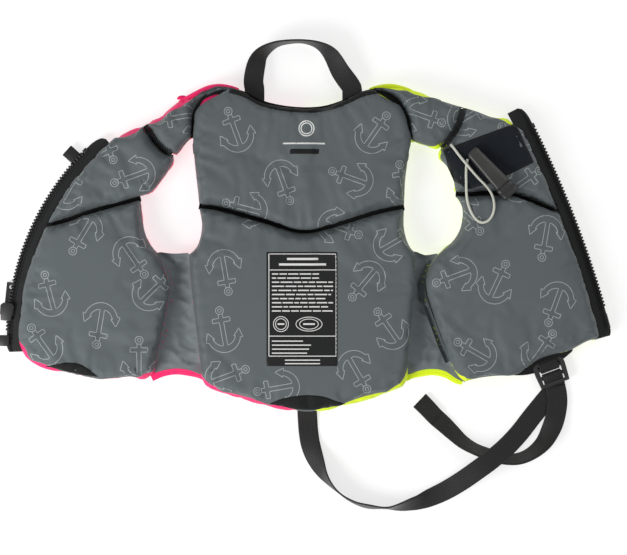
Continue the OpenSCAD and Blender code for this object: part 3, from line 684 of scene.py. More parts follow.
def inward(loop):
    """Unit vectors that point into the outline at each of its points."""
    along = np.roll(loop, -1, axis=0) - np.roll(loop, 1, axis=0)
    along /= np.linalg.norm(along, axis=1)[:, None]
    area = np.sum(loop[:, 0] * np.roll(loop[:, 1], -1) - np.roll(loop[:, 0], -1) * loop[:, 1])
    side = 1 if area > 0 else -1
    return np.stack([-along[:, 1], along[:, 0]], axis=1) * side


def filled(loop, rings, spacing):
    """Triangulates an outline, with rows of points at the given depths inside it and a grid in the middle."""
    points = [loop]
    ways = inward(loop)
    for depth in rings:
        row = loop + ways * depth
        keep = is_inside(row, loop) & (edge_field(row, loop)[0] > depth * 0.94)
        points.append(row[keep])
    low, high = loop.min(0), loop.max(0)
    xs = np.arange(low[0], high[0], spacing)
    ys = np.arange(low[1], high[1], spacing * 0.866)
    grid = np.array([(x + (spacing / 2 if j % 2 else 0), y) for j, y in enumerate(ys) for x in xs])
    grid = grid[is_inside(grid, loop)]
    grid = grid[edge_field(grid, loop)[0] > rings[-1] + spacing * 0.6]
    points.append(grid)
    flat = np.vstack(points)
    count = len(loop)
    rim = [(i, (i + 1) % count) for i in range(count)]
    found = geometry.delaunay_2d_cdt([Vector(p) for p in flat], rim, [list(range(count))], 1, 1e-7)
    return np.array([tuple(v) for v in found[0]]), [tuple(f) for f in found[2]]


# ---- padded panels ----

PAD_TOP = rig.box("back_liner_upper")[1].z
SEAM_Z = 13 * MM
# Points go this far apart along a panel's outline and inside it, with rows at these depths from its seam.
EDGE_STEP, GRID_STEP = 2.6 * MM, 4.2 * MM
SEAM_ROWS = [1.0 * MM, 2.4 * MM, 4.2 * MM, 6.5 * MM, 9.5 * MM, 13 * MM]
# Roundness of a pad's shoulder, how far in its crown still rises, and where its under cloth stops bulging.
SWELL, CROWN_REACH, BULGE_END = 2.3, 45 * MM, 0.55
# How far in from its seam a pad's upper and under cloth still turn, and from where the latter is held flat.
UPPER_ROLL, UNDER_ROLL, UNDER_FLAT = 11 * MM, 10 * MM, 9 * MM
# Where the coloured shell shows round the lining: centre, reach, and the width that shows.
RIMS = [((-104, 211), 26, 4.5), ((-128, 203), 20, 5.5), ((-152, 186), 20, 4.5),
        ((-176, 172), 16, 3.5), ((-286, -54), 16, 3.0), ((-262, -68), 18, 3.0),
        ((-160, -80), 10, 4.0), ((-96, -88), 16, 3.2), ((-60, -101), 30, 2.6),
        ((-25, -109), 16, 2.2), ((22, -110), 14, 2.2), ((60, -101), 26, 3.2),
        ((98, -86), 18, 4.0), ((84, 214), 22, 3.6), ((112, 208), 16, 2.6),
        ((206, 184), 10, 3.0), ((136, 153), 9, 2.5), ((160, -82), 8, 3.0)]


def rim_width(x, y):
    """How far the shell's edge shows beside the lining at an outline point."""
    shown = 0.0
    for (cx, cy), reach, width in RIMS:
        d = math.hypot(x / MM - cx, y / MM - cy)
        if d < reach:
            shown = max(shown, width * (1 - (d / reach) ** 2))
    return shown * MM


def ripple(at, wave, seed):
    """Smooth one-line noise from -1 to 1."""
    return noise.noise(Vector((at / wave, seed * 7.31, seed * 1.77)))


def pucker(d, at, reach, seed):
    """Gathers that run in from a seam: none on it, deepest a few millimetres in, then dying away."""
    fade = (d / reach) * math.exp(1 - d / reach)
    groups = 0.35 + 0.65 * max(0.0, ripple(at, 42 * MM, seed + 3))
    fine = ripple(at + d * 0.2, 6.5 * MM, seed) + 0.5 * ripple(at, 3.4 * MM, seed + 9)
    return fade * groups * fine


def room_inside(loop, ways):
    """How far one can go straight in from each outline point before another side comes nearer."""
    room = np.zeros(len(loop))
    for depth in (2 * MM, 4 * MM, 6 * MM, 9 * MM, 12 * MM):
        inner = loop + ways * depth
        free = edge_field(inner, loop)[0] > depth * 0.85
        room = np.where(free & (room >= depth - 3.1 * MM), depth, room)
    return room


# Soft folds in the lining: from, to, half width and height in millimetres.
FOLDS = [((-197, 152), (-256, 80), 3.5, 1.3), ((-186, 158), (-168, 118), 6, -0.9),
         ((-150, 152), (-176, 126), 5, 0.9), ((-112, 158), (-84, 146), 3.2, 1.4),
         ((-112, 142), (-82, 136), 3.0, 1.1), ((-110, 120), (-86, 122), 3.0, 0.9),
         ((-108, 175), (-80, 160), 3.5, -1.0), ((104, 160), (78, 150), 3.2, 1.4),
         ((103, 146), (74, 142), 3.0, -1.1), ((101, 132), (76, 134), 3.0, 1.0),
         ((100, 112), (80, 118), 3.2, 0.9), ((-104, 66), (-78, 52), 3.5, -1.1),
         ((-108, 54), (-86, 36), 3.0, 1.0), ((100, 66), (78, 50), 3.5, -1.1),
         ((105, 52), (84, 32), 3.0, 1.0), ((-146, 46), (-170, 20), 3.5, 1.2),
         ((-140, 22), (-164, 4), 3.0, -1.1), ((-139, -4), (-160, -22), 3.0, 1.0),
         ((-146, -40), (-166, -52), 3.5, 1.0), ((-152, -70), (-178, -50), 4.0, 1.2),
         ((-278, -55), (-256, -34), 4.0, 1.1), ((130, 40), (152, 20), 3.5, 1.2),
         ((124, 14), (148, 2), 3.0, -1.1), ((128, -10), (156, -34), 4.0, 1.5),
         ((140, -46), (164, -58), 3.2, 1.0), ((160, -78), (184, -58), 4.0, 1.2),
         ((294, -38), (268, -14), 4.0, 1.2), ((262, -52), (240, -34), 4.0, -1.0),
         ((140, 198), (146, 176), 3.0, 1.0), ((96, 200), (112, 182), 3.0, 1.0),
         ((-96, -80), (-70, -66), 3.5, 1.0), ((96, -78), (70, -64), 3.5, 1.0),
         ((0, 72), (-6, 92), 6, -0.7), ((210, 104), (196, 128), 4.0, 1.0),
         ((224, 96), (206, 74), 4.0, 1.1), ((-236, 82), (-220, 58), 4.0, 0.9)]


def fold_height(x, y):
    """Height that the soft folds add at a point; each starts strong at its seam end and runs out."""
    high = 0.0
    for (x0, y0), (x1, y1), half, rise in FOLDS:
        dx, dy = x1 - x0, y1 - y0
        length = math.hypot(dx, dy)
        px, py = x / MM - x0, y / MM - y0
        t = (px * dx + py * dy) / length
        if -6 < t < length + 8:
            off = (px * dy - py * dx) / length + 1.5 * ripple(t * MM, 14 * MM, x0)
            ends = max(0.0, min(1.0, (t + 6) / 8)) * max(0.0, min(1.0, (length + 8 - t) / (length * 0.7)))
            high += rise * math.exp(-((off / half) ** 2)) * ends
    return high * MM


class Panel:
    """One padded block: an upper cloth and an under cloth that meet in a seam round the block."""

    def __init__(self, node, seed, gathers, crown=1.0):
        self.seed, self.gathers, self.crown = seed, gathers * MM, crown * MM
        outline = even_loop(top_loops(node)[0], EDGE_STEP)
        ways = inward(outline)
        shown = np.minimum([rim_width(*p) for p in outline], room_inside(outline, ways) * 0.55)
        shown = (np.roll(shown, 1) + shown * 2 + np.roll(shown, -1)) / 4
        self.edge = outline
        self.seam = outline + ways * shown[:, None]
        self.seam_high = SEAM_Z + shown * 1.6
        self.flat, self.faces = filled(self.seam, SEAM_ROWS, GRID_STEP)
        self.d, self.near, self.at, _ = edge_field(self.flat, self.seam)

    def seam_height(self):
        """Seam height at each flat point, from the nearest seam point."""
        spread = np.linalg.norm(self.near[:, None, :] - self.seam[None, :, :], axis=2)
        return self.seam_high[np.argmin(spread, axis=1)]

    def upper(self):
        """Rises steeply from the seam to a slightly crowned top, with gathers and soft folds."""
        base = self.seam_height()
        share = np.clip(self.d / UPPER_ROLL, 0, 1)
        swell = (1 - (1 - share) ** SWELL) ** (1 / SWELL)
        points = []
        for (x, y), d, at, b, s in zip(self.flat, self.d, self.at, base, swell):
            deep = min(d / CROWN_REACH, 1)
            crown = self.crown * (deep * (2 - deep) - 1)
            drift = noise.noise(Vector((x * 16, y * 16, self.seed))) * 0.7 * MM * min(d / UPPER_ROLL, 1)
            gather = self.gathers * pucker(d, at, 7 * MM, self.seed)
            folds = fold_height(x, y) * min(d / (5 * MM), 1)
            free = (crown + drift) * min(d / UPPER_ROLL, 1)
            points.append([x, y, b + (PAD_TOP - b) * s + free + gather + folds])
        return np.array(points)

    def under(self):
        """Bulges out past the seam to the block's edge, then rolls under to the flat underside."""
        base = self.seam_height()
        reach = np.linalg.norm(self.near[:, None, :] - self.edge[None, :, :], axis=2).min(axis=1)
        points = []
        for (x, y), d, near, at, b, out in zip(self.flat, self.d, self.near, self.at, base, reach):
            if d > UNDER_ROLL or d < 1e-7:
                points.append([x, y, 0.0 if d > UNDER_ROLL else b])
                continue
            s = d / UNDER_ROLL
            way = (np.array([x, y]) - near) / d
            bulge = 0.0
            if s < BULGE_END:
                bulge = (out + min(out, 1 * MM) - 0.4 * MM) * math.sin(math.pi * (s / BULGE_END))
            inner = UNDER_ROLL * max(0.0, (s - 0.3) / 0.7) ** 1.5
            height = b * (1 - s) ** 1.7
            height += 0.4 * MM * pucker(d, at, 3.5 * MM, self.seed + 20) * s
            spot = near + way * (inner - bulge)
            points.append([spot[0], spot[1], max(0.0, height)])
        return np.array(points)


def swollen(points, faces, pinned, frames=14, pressure=3.0, cap=2.2 * MM):
    """Blows a closed pad up with Blender's cloth, its seam held, and returns where its points go."""
    mesh = bpy.data.meshes.new("swell")
    mesh.from_pydata([tuple(p) for p in points], [], faces)
    pad = bpy.data.objects.new("swell", mesh)
    bpy.context.scene.collection.objects.link(pad)
    group = pad.vertex_groups.new(name="held")
    group.add(pinned, 1.0, "REPLACE")
    cloth = pad.modifiers.new("cloth", "CLOTH")
    cloth.settings.use_pressure = True
    cloth.settings.uniform_pressure_force = pressure
    cloth.settings.vertex_group_mass = "held"
    cloth.settings.shrink_min = -0.035
    cloth.settings.bending_stiffness = 0.6
    cloth.settings.tension_stiffness = 30
    cloth.settings.effector_weights.gravity = 0
    cloth.point_cache.frame_end = frames
    scene = bpy.context.scene
    for number in range(1, frames + 1):
        scene.frame_set(number)
    shown = pad.evaluated_get(bpy.context.evaluated_depsgraph_get())
    moved = np.array([tuple(v.co) for v in shown.data.vertices])
    scene.frame_set(1)
    bpy.data.objects.remove(pad)
    step = moved - points
    length = np.linalg.norm(step, axis=1)
    share = np.minimum(1, cap / np.maximum(length, 1e-9))
    return points + step * share[:, None]


def faces_up(faces, points):
    """Turns each triangle so that it faces upwards."""
    turned = []
    for a, b, c in faces:
        ab, ac = points[b][:2] - points[a][:2], points[c][:2] - points[a][:2]
        turned.append((a, b, c) if ab[0] * ac[1] - ab[1] * ac[0] > 0 else (a, c, b))
    return turned


# Under cloths gathered for each outer cloth, and the lining pieces, by name.
SHELLS = {}
LININGS = {}


def add_panel(name, body, node, shell_of, **look):
    """Builds one block's lining, and adds its under cloth to the shell pieces that cover it."""
    panel = Panel(node, **look)
    up = faces_up(panel.faces, panel.flat)
    upper, under = panel.upper(), panel.under()
    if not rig.quick():
        count = len(upper)
        seam = [i for i in range(count) if panel.d[i] < 1e-6]
        on_seam = set(seam)
        lower_index = {i: i if i in on_seam else count + i for i in range(count)}
        both = np.vstack([upper, under])
        closed = up + [tuple(lower_index[i] for i in reversed(f)) for f in up]
        flat_under = [count + i for i in range(count) if panel.d[i] > UNDER_FLAT]
        both = swollen(both, closed, seam + flat_under)
        upper, under = both[:count], both[count:]
        under[seam] = upper[seam]
        under[:, 2] = np.maximum(under[:, 2], 0.0)
    lining = piece(name + "_lining", upper, up, "lining")
    settle(lining, body, node)
    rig.padded(lining, fill=0.7)
    LININGS[name] = lining
    for shell_name, keep in shell_of:
        SHELLS.setdefault(shell_name, []).append((under, [f[::-1] for f in up], keep))


def half_side(sign):
    """A test for the faces on one side of the jacket's middle."""
    return lambda p: sign * p[0] >= 0


def any_side(p):
    """The same for a piece that takes all its block's faces."""
    return True


def add_shell(name, body, material, *nodes):
    """Joins the under cloths gathered for one shell into one piece."""
    points, faces = [], []
    for block, triangles, keep in SHELLS[name]:
        start = len(points)
        points.extend(block)
        middle = [sum(block[i] for i in f) / 3 for f in triangles]
        faces.extend(tuple(i + start for i in f) for f, m in zip(triangles, middle) if keep(m))
    made = piece(name, points, faces, material)
    drop_loose(made)
    settle(made, body, *nodes)
    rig.padded(made, fill=0.7)


def drop_loose(made):
    """Removes points that no face uses."""
    shape = bmesh.new()
    shape.from_mesh(made.data)
    bmesh.ops.delete(shape, geom=[v for v in shape.verts if not v.link_faces], context="VERTS")
    shape.to_mesh(made.data)
    shape.free()


BACK_CLOTHS = [("back_pink_cloth", half_side(-1)), ("back_yellow_cloth", half_side(1))]
add_panel("back_upper", "back", "back_liner_upper", BACK_CLOTHS, seed=1, gathers=1.8)
add_panel("back_lower", "back", "back_liner_lower", BACK_CLOTHS, seed=2, gathers=1.5)
# Each front's blocks: name, the outer cloth that covers it, gathers and crown in millimetres.
FRONT_BLOCKS = [("shoulder", "upper", 2.0, 0.5), ("upper", "upper", 1.6, 1.0), ("lower", "lower", 1.5, 1.0)]
for side, first_seed in (("left", 3), ("right", 6)):
    for step, (block, part, gathers, crown) in enumerate(FRONT_BLOCKS):
        add_panel(f"{side}_{block}", side + "_front", f"{side}_{block}_liner",
                  [(f"{side}_{part}_cloth", any_side)], seed=first_seed + step, gathers=gathers, crown=crown)
add_shell("back_pink_cloth", "back", "shell_pink", "back_shell_pink", "back_foam_upper")
add_shell("back_yellow_cloth", "back", "shell_yellow", "back_shell_yellow", "back_foam_lower")
for side, color in SIDE_SHELL.items():
    add_shell(side + "_upper_cloth", side + "_front", color, side + "_upper_shell",
              side + "_shoulder_foam", side + "_upper_foam")
    add_shell(side + "_lower_cloth", side + "_front", color, side + "_lower_shell", side + "_lower_foam")


# ---- laying trims on the cloth ----

def surface_of(*names):
    """One tree over the named linings, for dropping trims onto them."""
    shape = bmesh.new()
    for name in names:
        shape.from_mesh(LININGS[name].data)
    shape.normal_update()
    tree = BVHTree.FromBMesh(shape)
    shape.free()
    return tree


TOPS = {
    "back": surface_of("back_upper", "back_lower"),
    "left_front": surface_of("left_shoulder", "left_upper", "left_lower"),
    "right_front": surface_of("right_shoulder", "right_upper", "right_lower"),
}


def dropped(body, x, y, lift):
    """The point of a body's lining at (x, y), raised by lift; None beside the lining."""
    hit, normal, _, _ = TOPS[body].ray_cast(Vector((x, y, 0.1)), -UP)
    if hit is None:
        return None
    return hit + normal * lift


def wrapped(body, x, y, lift):
    """The same, but beside the lining it stays at (x, y), at the height of the lining's nearest point."""
    spot = dropped(body, x, y, lift)
    if spot is not None:
        return spot
    hit, _, _, _ = TOPS[body].find_nearest(Vector((x, y, SEAM_Z + 6 * MM)))
    return Vector((x, y, hit.z + lift * 0.3))


class Pieces:
    """Gathers many small faces into one mesh."""

    def __init__(self):
        self.points, self.faces, self.strip = [], [], []

    def quad(self, corners, places=None):
        start = len(self.points)
        self.points.extend(corners)
        self.strip.extend(places or [(0, 0)] * 4)
        self.faces.append((start, start + 1, start + 2, start + 3))

    def add(self, points, faces):
        start = len(self.points)
        self.points.extend(points)
        self.strip.extend([(0, 0)] * len(points))
        self.faces.extend(tuple(i + start for i in f) for f in faces)

    def made(self, name, material, body, *nodes):
        shown = piece(name, self.points, self.faces, material, strip=self.strip)
        shape = bmesh.new()
        shape.from_mesh(shown.data)
        bmesh.ops.remove_doubles(shape, verts=shape.verts, dist=1e-6)
        shape.to_mesh(shown.data)
        shape.free()
        return settle(shown, body, *nodes)


def drawn_along(line, count, place, closed=False):
    """Faces of a section of count points, drawn along a line: place(i, k) is its k-th point at step i."""
    into = Pieces()
    for i in range(len(line) - 1):
        for k in range(count if closed else count - 1):
            after = (k + 1) % count
            into.quad([place(i, k), place(i + 1, k), place(i + 1, after), place(i, after)])
    return into


def sides_of(line):
    """Unit vectors to the left of a line of (x, y)."""
    along = np.gradient(line, axis=0)
    along /= np.maximum(np.linalg.norm(along, axis=1), 1e-12)[:, None]
    return np.stack([-along[:, 1], along[:, 0]], axis=1)


def ribbon(into, body, line, width, lift, crown=0.0, columns=1, lay=dropped):
    """A ribbon laid on the lining along a line; it breaks where there's no lining below it."""
    line = np.array(line)
    rows, run = [], 0.0
    for i, (p, side) in enumerate(zip(line, sides_of(line))):
        if i:
            run += np.linalg.norm(p - line[i - 1])
        row = []
        for k in range(columns + 1):
            u = k / columns - 0.5
            spot = p + side * width * u
            row.append((lay(body, spot[0], spot[1], lift + crown * (1 - 4 * u * u)), (width * u, run)))
        rows.append(row)
    for a, b in zip(rows, rows[1:]):
        for k in range(columns):
            corners = [a[k], b[k], b[k + 1], a[k + 1]]
            if all(c[0] is not None for c in corners):
                into.quad([c[0] for c in corners], [c[1] for c in corners])


STITCH_PITCH = 4.3 * MM


def stitch(into, start, end, normal, radius):
    """One thread of a stitch: a short round bar that dips into the cloth at both ends."""
    along = end - start
    side = along.cross(normal).normalized()
    rings = []
    for t, high, thick in ((0, -0.4, 0.5), (0.18, 0.5, 1), (0.82, 0.5, 1), (1, -0.4, 0.5)):
        centre = start + along * t + normal * radius * high
        rings.append([centre + (side * math.cos(a) + normal * math.sin(a)) * radius * thick
                      for a in (0, math.pi / 3, 2 * math.pi / 3, math.pi, 3 * math.pi / 2)])
    points = [p for r in rings for p in r]
    faces = []
    for i in range(3):
        for k in range(5):
            a, b = i * 5 + k, i * 5 + (k + 1) % 5
            faces.append((a, b, b + 5, a + 5))
    into.add(points, faces)


def run_stitches(into, body, line, lift, radius=0.34 * MM, lay=dropped):
    """A row of running stitches along a line: each is three quarters of the pitch long."""
    even, _ = even_path(line, STITCH_PITCH / 4)
    for i in range(0, len(even) - 3, 4):
        ends = [lay(body, *even[k][:2], lift) for k in (i, i + 3)]
        if None not in ends:
            stitch(into, ends[0], ends[1], UP, radius)


def zigzag(into, body, line, width, pitch, lift, radius):
    """A dense zigzag stitch along a line."""
    even, _ = even_path(line, pitch / 2)
    ways = sides_of(even[:, :2])
    spots = [wrapped(body, *(p[:2] + n * width * (0.5 if i % 2 else -0.5)), lift)
             for i, (p, n) in enumerate(zip(even, ways))]
    for a, b in zip(spots, spots[1:]):
        stitch(into, a, b, UP, radius)


PATCH_EDGE = 0.8 * MM


def cover(body, name, material, loop, lift, nodes, puff=0.0):
    """A flat patch with a turned edge, laid on the lining inside an outline."""
    outline = even_loop(np.array(loop), 2 * MM)
    flat, faces = filled(outline, [PATCH_EDGE * 0.4, PATCH_EDGE, 2.5 * MM], 4 * MM)
    d, _, _, _ = edge_field(flat, outline)
    points = []
    for (x, y), depth in zip(flat, d):
        high = lift * math.sqrt(min(depth / PATCH_EDGE, 1)) + puff * min(depth / (12 * MM), 1)
        points.append(wrapped(body, x, y, high + 0.05 * MM))
    made = piece(name, points, faces_up(faces, flat), material)
    return settle(made, body, *nodes)


# ---- grooves, seams and bindings ----

def strip_line(node):
    """The middle line of a flat CAD strip that runs across the jacket."""
    spots = np.array(sorted(tuple(p) for p in top_loops(node)[0]))
    pairs = len(spots) // 2 * 2
    line = (spots[0:pairs:2] + spots[1:pairs:2]) / 2
    return even_path(line, 3 * MM)[0]


def lengthened(line, start, end):
    """The line made longer at its ends by the given lengths."""
    first = line[0] + (line[0] - line[3]) / np.linalg.norm(line[0] - line[3]) * start
    last = line[-1] + (line[-1] - line[-4]) / np.linalg.norm(line[-1] - line[-4]) * end
    return np.vstack([first, line, last])


# The groove cloth's section: across and height in millimetres.
GROOVE_SECTION = [(-3.6, 14.6), (-2.4, 14.2), (-1.2, 11.9), (0.0, 11.2),
                  (1.2, 11.9), (2.4, 14.2), (3.6, 14.6)]


def add_groove(name, body, node, start=0.0, end=0.0):
    """Black cloth sunk in the groove between two blocks, caught in both their seams."""
    line = lengthened(strip_line(node), start, end)
    ways = sides_of(line)

    def place(i, k):
        u, z = GROOVE_SECTION[k]
        return Vector((*(line[i] + ways[i] * u * MM), z * MM))

    drawn_along(line, len(GROOVE_SECTION), place).made(name, "black_cloth", body, node)


add_groove("back_groove_cloth", "back", "back_groove_strip")
add_groove("left_groove_cloth", "left_front", "left_groove_strip", start=19 * MM)
add_groove("right_groove_cloth", "right_front", "right_groove_strip", end=30 * MM)


def scaled(points):
    """Flat points given in millimetres, in metres."""
    return np.array([(x * MM, y * MM) for x, y in points])


def arc_points(cx, cy, rx, ry, start, end, steps):
    """Points on an ellipse, from one bearing to another in degrees."""
    return [(cx + rx * math.cos(math.radians(a)), cy + ry * math.sin(math.radians(a)))
            for a in np.linspace(start, end, steps)]


def curve(points, spacing=2 * MM):
    """A smooth line through listed points given in millimetres."""
    return even_path(hermite_path(scaled(points), 8), spacing)[0]


def floor_strip(name, body, line, width, height, material, crown=0.0, narrow=0):
    """A band of cloth below the linings' seams, which closes the gap between two pieces.

    Its middle hangs by crown. With narrow it starts at about a third of its width and widens over its
    first steps. Without a body it stays free, to be blended across a joint.
    """
    ways = sides_of(line)

    def place(i, k):
        u = k / 4 - 0.5
        spot = line[i] + ways[i] * u * width * (min(1, 0.35 + i / narrow) if narrow else 1)
        return Vector((*spot, height - crown * (1 - 4 * u * u)))

    into = drawn_along(line, 5, place)
    if body is None:
        return piece(name, into.points, into.faces, material)
    return into.made(name, material, body)


# The seam between each shoulder block and the block below it.
SEAMS = {
    "left_shoulder_seam": ("left_front", [(-161.5, 175.2), (-154, 165), (-146, 155), (-139, 149.5),
                                          (-134.5, 147.2)]),
    "right_shoulder_seam": ("right_front", [(158.6, 192.8), (155, 178), (148, 166), (141, 157), (137, 154)]),
}


def add_shoulder_seam(name, body, points):
    """A black tape under the gap between two blocks, and the dense zigzag that joins them."""
    line = curve(points)
    floor_strip(name + "_tape", body, line, 8 * MM, 15.5 * MM, "black_cloth", crown=3 * MM)
    into = Pieces()
    zigzag(into, body, line, 7.5 * MM, 2.3 * MM, 0.3 * MM, radius=0.45 * MM)
    into.made(name + "_zigzag", "stitching", body)


for name, (body, points) in SEAMS.items():
    add_shoulder_seam(name, body, points)


# Cloth that runs on across each shoulder's crease, in two nearly straight lengths a side.
CREASES = [
    ("left_crease_top", "left_front", [(-72, 210.5), (-80, 209.5), (-90, 207), (-100, 202)]),
    ("left_crease_side", "left_front", [(-98, 205), (-105, 198.5), (-110, 188), (-112, 174), (-113, 163)]),
    ("right_crease_top", "right_front", [(69, 211), (77, 208.5), (87, 203.5), (96, 196)]),
    ("right_crease_side", "right_front", [(94, 198), (100, 188), (104, 176), (106, 162)]),
]
# The outer cloth's edge that shows beside each shoulder's thin end.
SHOULDER_RIMS = [
    ("left_shoulder_rim", "left_front", "shell_pink",
     [(-67, 213), (-76, 214.6), (-88, 215.2), (-100, 212.2), (-112, 207), (-120, 203.5), (-128, 200)]),
    ("right_shoulder_rim", "right_front", "shell_yellow",
     [(65, 213), (74, 214.2), (86, 215), (98, 213.4), (110, 210.4)]),
]
# What lies over a crease: its width, height and hang in millimetres. The black strip is painted shade, laid along the
# crease where the pads' meeting falls into shadow.
CREASE_LAYERS = [("_cloth", 15, 17.2, 0.8, "lining"), ("_painted_shade", 5.5, 17.9, 1.2, "black_cloth")]


def add_crease_cloth(name, body, points):
    """The lining running on over a crease, with a black strip of painted shade along the valley where the pads meet.
    """
    line = curve(points)
    middle = line[len(line) // 2]
    across = sides_of(line)[len(line) // 2] * 5 * MM
    if np.dot(across, middle * (1, 0)) < 0:
        across = -across
    near, far = middle - across, middle + across
    for part, width, height, crown, material in CREASE_LAYERS:
        made = floor_strip(name + part, None, line, width * MM, height * MM, material, crown=crown * MM,
                           narrow=0 if name.endswith("side") else 12)
        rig.blend(made, "back", body, start=(*near, 0.012), end=(*far, 0.012))


for row in CREASES:
    add_crease_cloth(*row)


def add_groove_wedge():
    """The dark opening where the right groove widens under the zip's tape."""
    line = curve([(214, 102.5), (226, 98.5), (238, 93.8), (248, 89.6), (255, 86.5)])
    floor_strip("right_groove_wedge", "right_front", line, 9 * MM, 12.5 * MM, "black_cloth",
                crown=2 * MM, narrow=16)


add_groove_wedge()


# Where the pieces at each side bend from the back to the front.
SIDE_BEND = {"left": ((-0.106, 0.0, 0.01), (-0.130, 0.0, 0.01)),
             "right": ((0.106, 0.0, 0.01), (0.126, 0.0, 0.01))}
HEM_BEND = {"left": ((-0.108, 0.0, 0.01), (-0.128, 0.0, 0.01)),
            "right": ((0.108, 0.0, 0.01), (0.126, 0.0, 0.01))}


def bend_at_side(made, side, bend):
    """The piece bends at one side of the jacket, over the stretch that bend gives."""
    near, far = bend[side]
    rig.blend(made, "back", side + "_front", start=near, end=far)


def add_side_welt():
    """A narrow welt of lining along the right front's seam with its side panel."""
    line = curve([(128.5, 39), (122, 28), (118.5, 16), (119.5, 4), (124, -11), (130, -27), (137, -46),
                  (144.5, -63)])
    made = floor_strip("right_side_welt", None, line, 6 * MM, 14.2 * MM, "lining", crown=4.2 * MM)
    bend_at_side(made, "right", SIDE_BEND)


add_side_welt()


def add_shoulder_rim(name, body, material, points):
    """A soft rolled edge that tapers to nothing at both ends."""
    line = curve(points)
    count = len(line)
    ways = sides_of(line)
    into = Pieces()
    turns = [2 * math.pi * k / 12 for k in range(13)]
    rings = []
    for i in range(count):
        thick = math.sin(math.pi * min(1, max(0.02, (i + 0.6) / count))) ** 0.5
        wave = 1 + 0.12 * ripple(i * 2 * MM, 12 * MM, count)
        rings.append([Vector((*(line[i] + ways[i] * 3.6 * MM * thick * wave * math.cos(a)),
                              9.5 * MM + 5.5 * MM * thick * math.sin(a))) for a in turns])
    for a, b in zip(rings, rings[1:]):
        for k in range(12):
            into.quad([a[k], a[k + 1], b[k + 1], b[k]])
    into.made(name, material, body)


for row in SHOULDER_RIMS:
    add_shoulder_rim(*row)


def add_shoulder_tab():
    """The small folded cloth tab sewn into the left shoulder's edge."""
    points = arc_points(-124, 203.5, 5.5, 3.2, 20, 200, 12)
    low, high = 8.0, 10.6
    middle = Vector((-124, 202, high)) * MM
    into = Pieces()
    for (xa, ya), (xb, yb) in zip(points, points[1:]):
        a, b = Vector((xa, ya, high)) * MM, Vector((xb, yb, high)) * MM
        into.quad([middle, a, b, middle + (b - a) * 0.01])
        into.quad([a - UP * (high - low) * MM, b - UP * (high - low) * MM, b, a])
    into.made("left_shoulder_tab", "shell_pink", "left_front")


add_shoulder_tab()


def add_neck_binding():
    """Folded black binding over the back panel's neck edge, with its row of stitches."""
    line = curve([(-75, 211), (-60, 206.5), (-42, 197.8), (-20, 192.8), (3, 191.3), (22, 193.3), (40, 199.2),
                  (57, 207), (72, 210.5)])
    into = Pieces()
    ribbon(into, "back", line - sides_of(line) * 0.6 * MM, 6.5 * MM, 0.3 * MM,
           crown=0.9 * MM, columns=6, lay=wrapped)
    into.made("neck_binding_cloth", "black_cloth", "back", "neck_binding")
    threads = Pieces()
    run_stitches(threads, "back", line - sides_of(line) * 2.4 * MM, 0.75 * MM, lay=wrapped)
    threads.made("neck_binding_stitches", "stitching", "back")


add_neck_binding()


# ---- side panels and hems ----

def add_side(side, seed):
    """Thin stretch cloth between the back and one front, hanging low between their seams."""
    outline = even_loop(top_loops(side + "_side_panel")[0], 3 * MM)
    outline = outline - inward(outline) * 1.6 * MM
    flat, faces = filled(outline, [1.2 * MM, 3 * MM, 5 * MM], 2.6 * MM)
    d, _, _, _ = edge_field(flat, outline)
    low_y, high_y = flat[:, 1].min(), flat[:, 1].max()
    points = []
    for (x, y), depth in zip(flat, d):
        up = (y - low_y) / (high_y - low_y)
        sag = math.exp(-depth / (6 * MM))
        hem = min(1.0, max(0.0, y - low_y - 7.5 * MM) / (14 * MM))
        crumple = noise.noise(Vector((x * 80, y * 110, seed))) * 4.5 * MM * max(0.25, up)
        fold = noise.noise(Vector((x * 20, y * 120, seed + 5))) * 4.2 * MM * max(0.35, 1 - up)
        ridge = 1 - abs(noise.noise(Vector((x * 45 + y * 30, y * 60, seed + 9)))) * 5
        edge_free = min(depth / (7 * MM), 1)
        z = 6.5 * MM + (6.5 * sag * hem) * MM + (crumple + fold + max(0, ridge) * 2.2 * MM) * edge_free
        points.append((x, y, max(z, 3.2 * MM)))
    triangles = faces_up(faces, flat)
    # The cloth takes the lining's colour made lighter: painted light against the shade where it sits low.
    cloth = piece(side + "_side_cloth", points, triangles, "side_cloth")
    below = [(x, y, max(z - 1.1 * MM, 0.4 * MM)) for x, y, z in points]
    lower = piece(side + "_side_outer", below, [f[::-1] for f in triangles], SIDE_SHELL[side])
    for made, node in ((cloth, side + "_side_panel"), (lower, side + "_side_shell")):
        bend_at_side(made, side, SIDE_BEND)
        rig.replaces(made, node)
    ends = np.roll(outline, -1, axis=0)
    cut = abs(np.sum(outline[:, 0] * ends[:, 1] - ends[:, 0] * outline[:, 1])) / 2
    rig.sheet(cloth, flat=(0.118, 0.052), area=float(cut) * 1.05, held="stretched")


# A hem's section: across and height in millimetres.
HEM_SECTION = [(-4.4, 1.0), (-4.6, 3.4), (-3.6, 5.7), (-1.2, 6.1),
               (1.6, 5.6), (3.6, 5.0), (4.4, 4.6), (4.0, 1.4)]


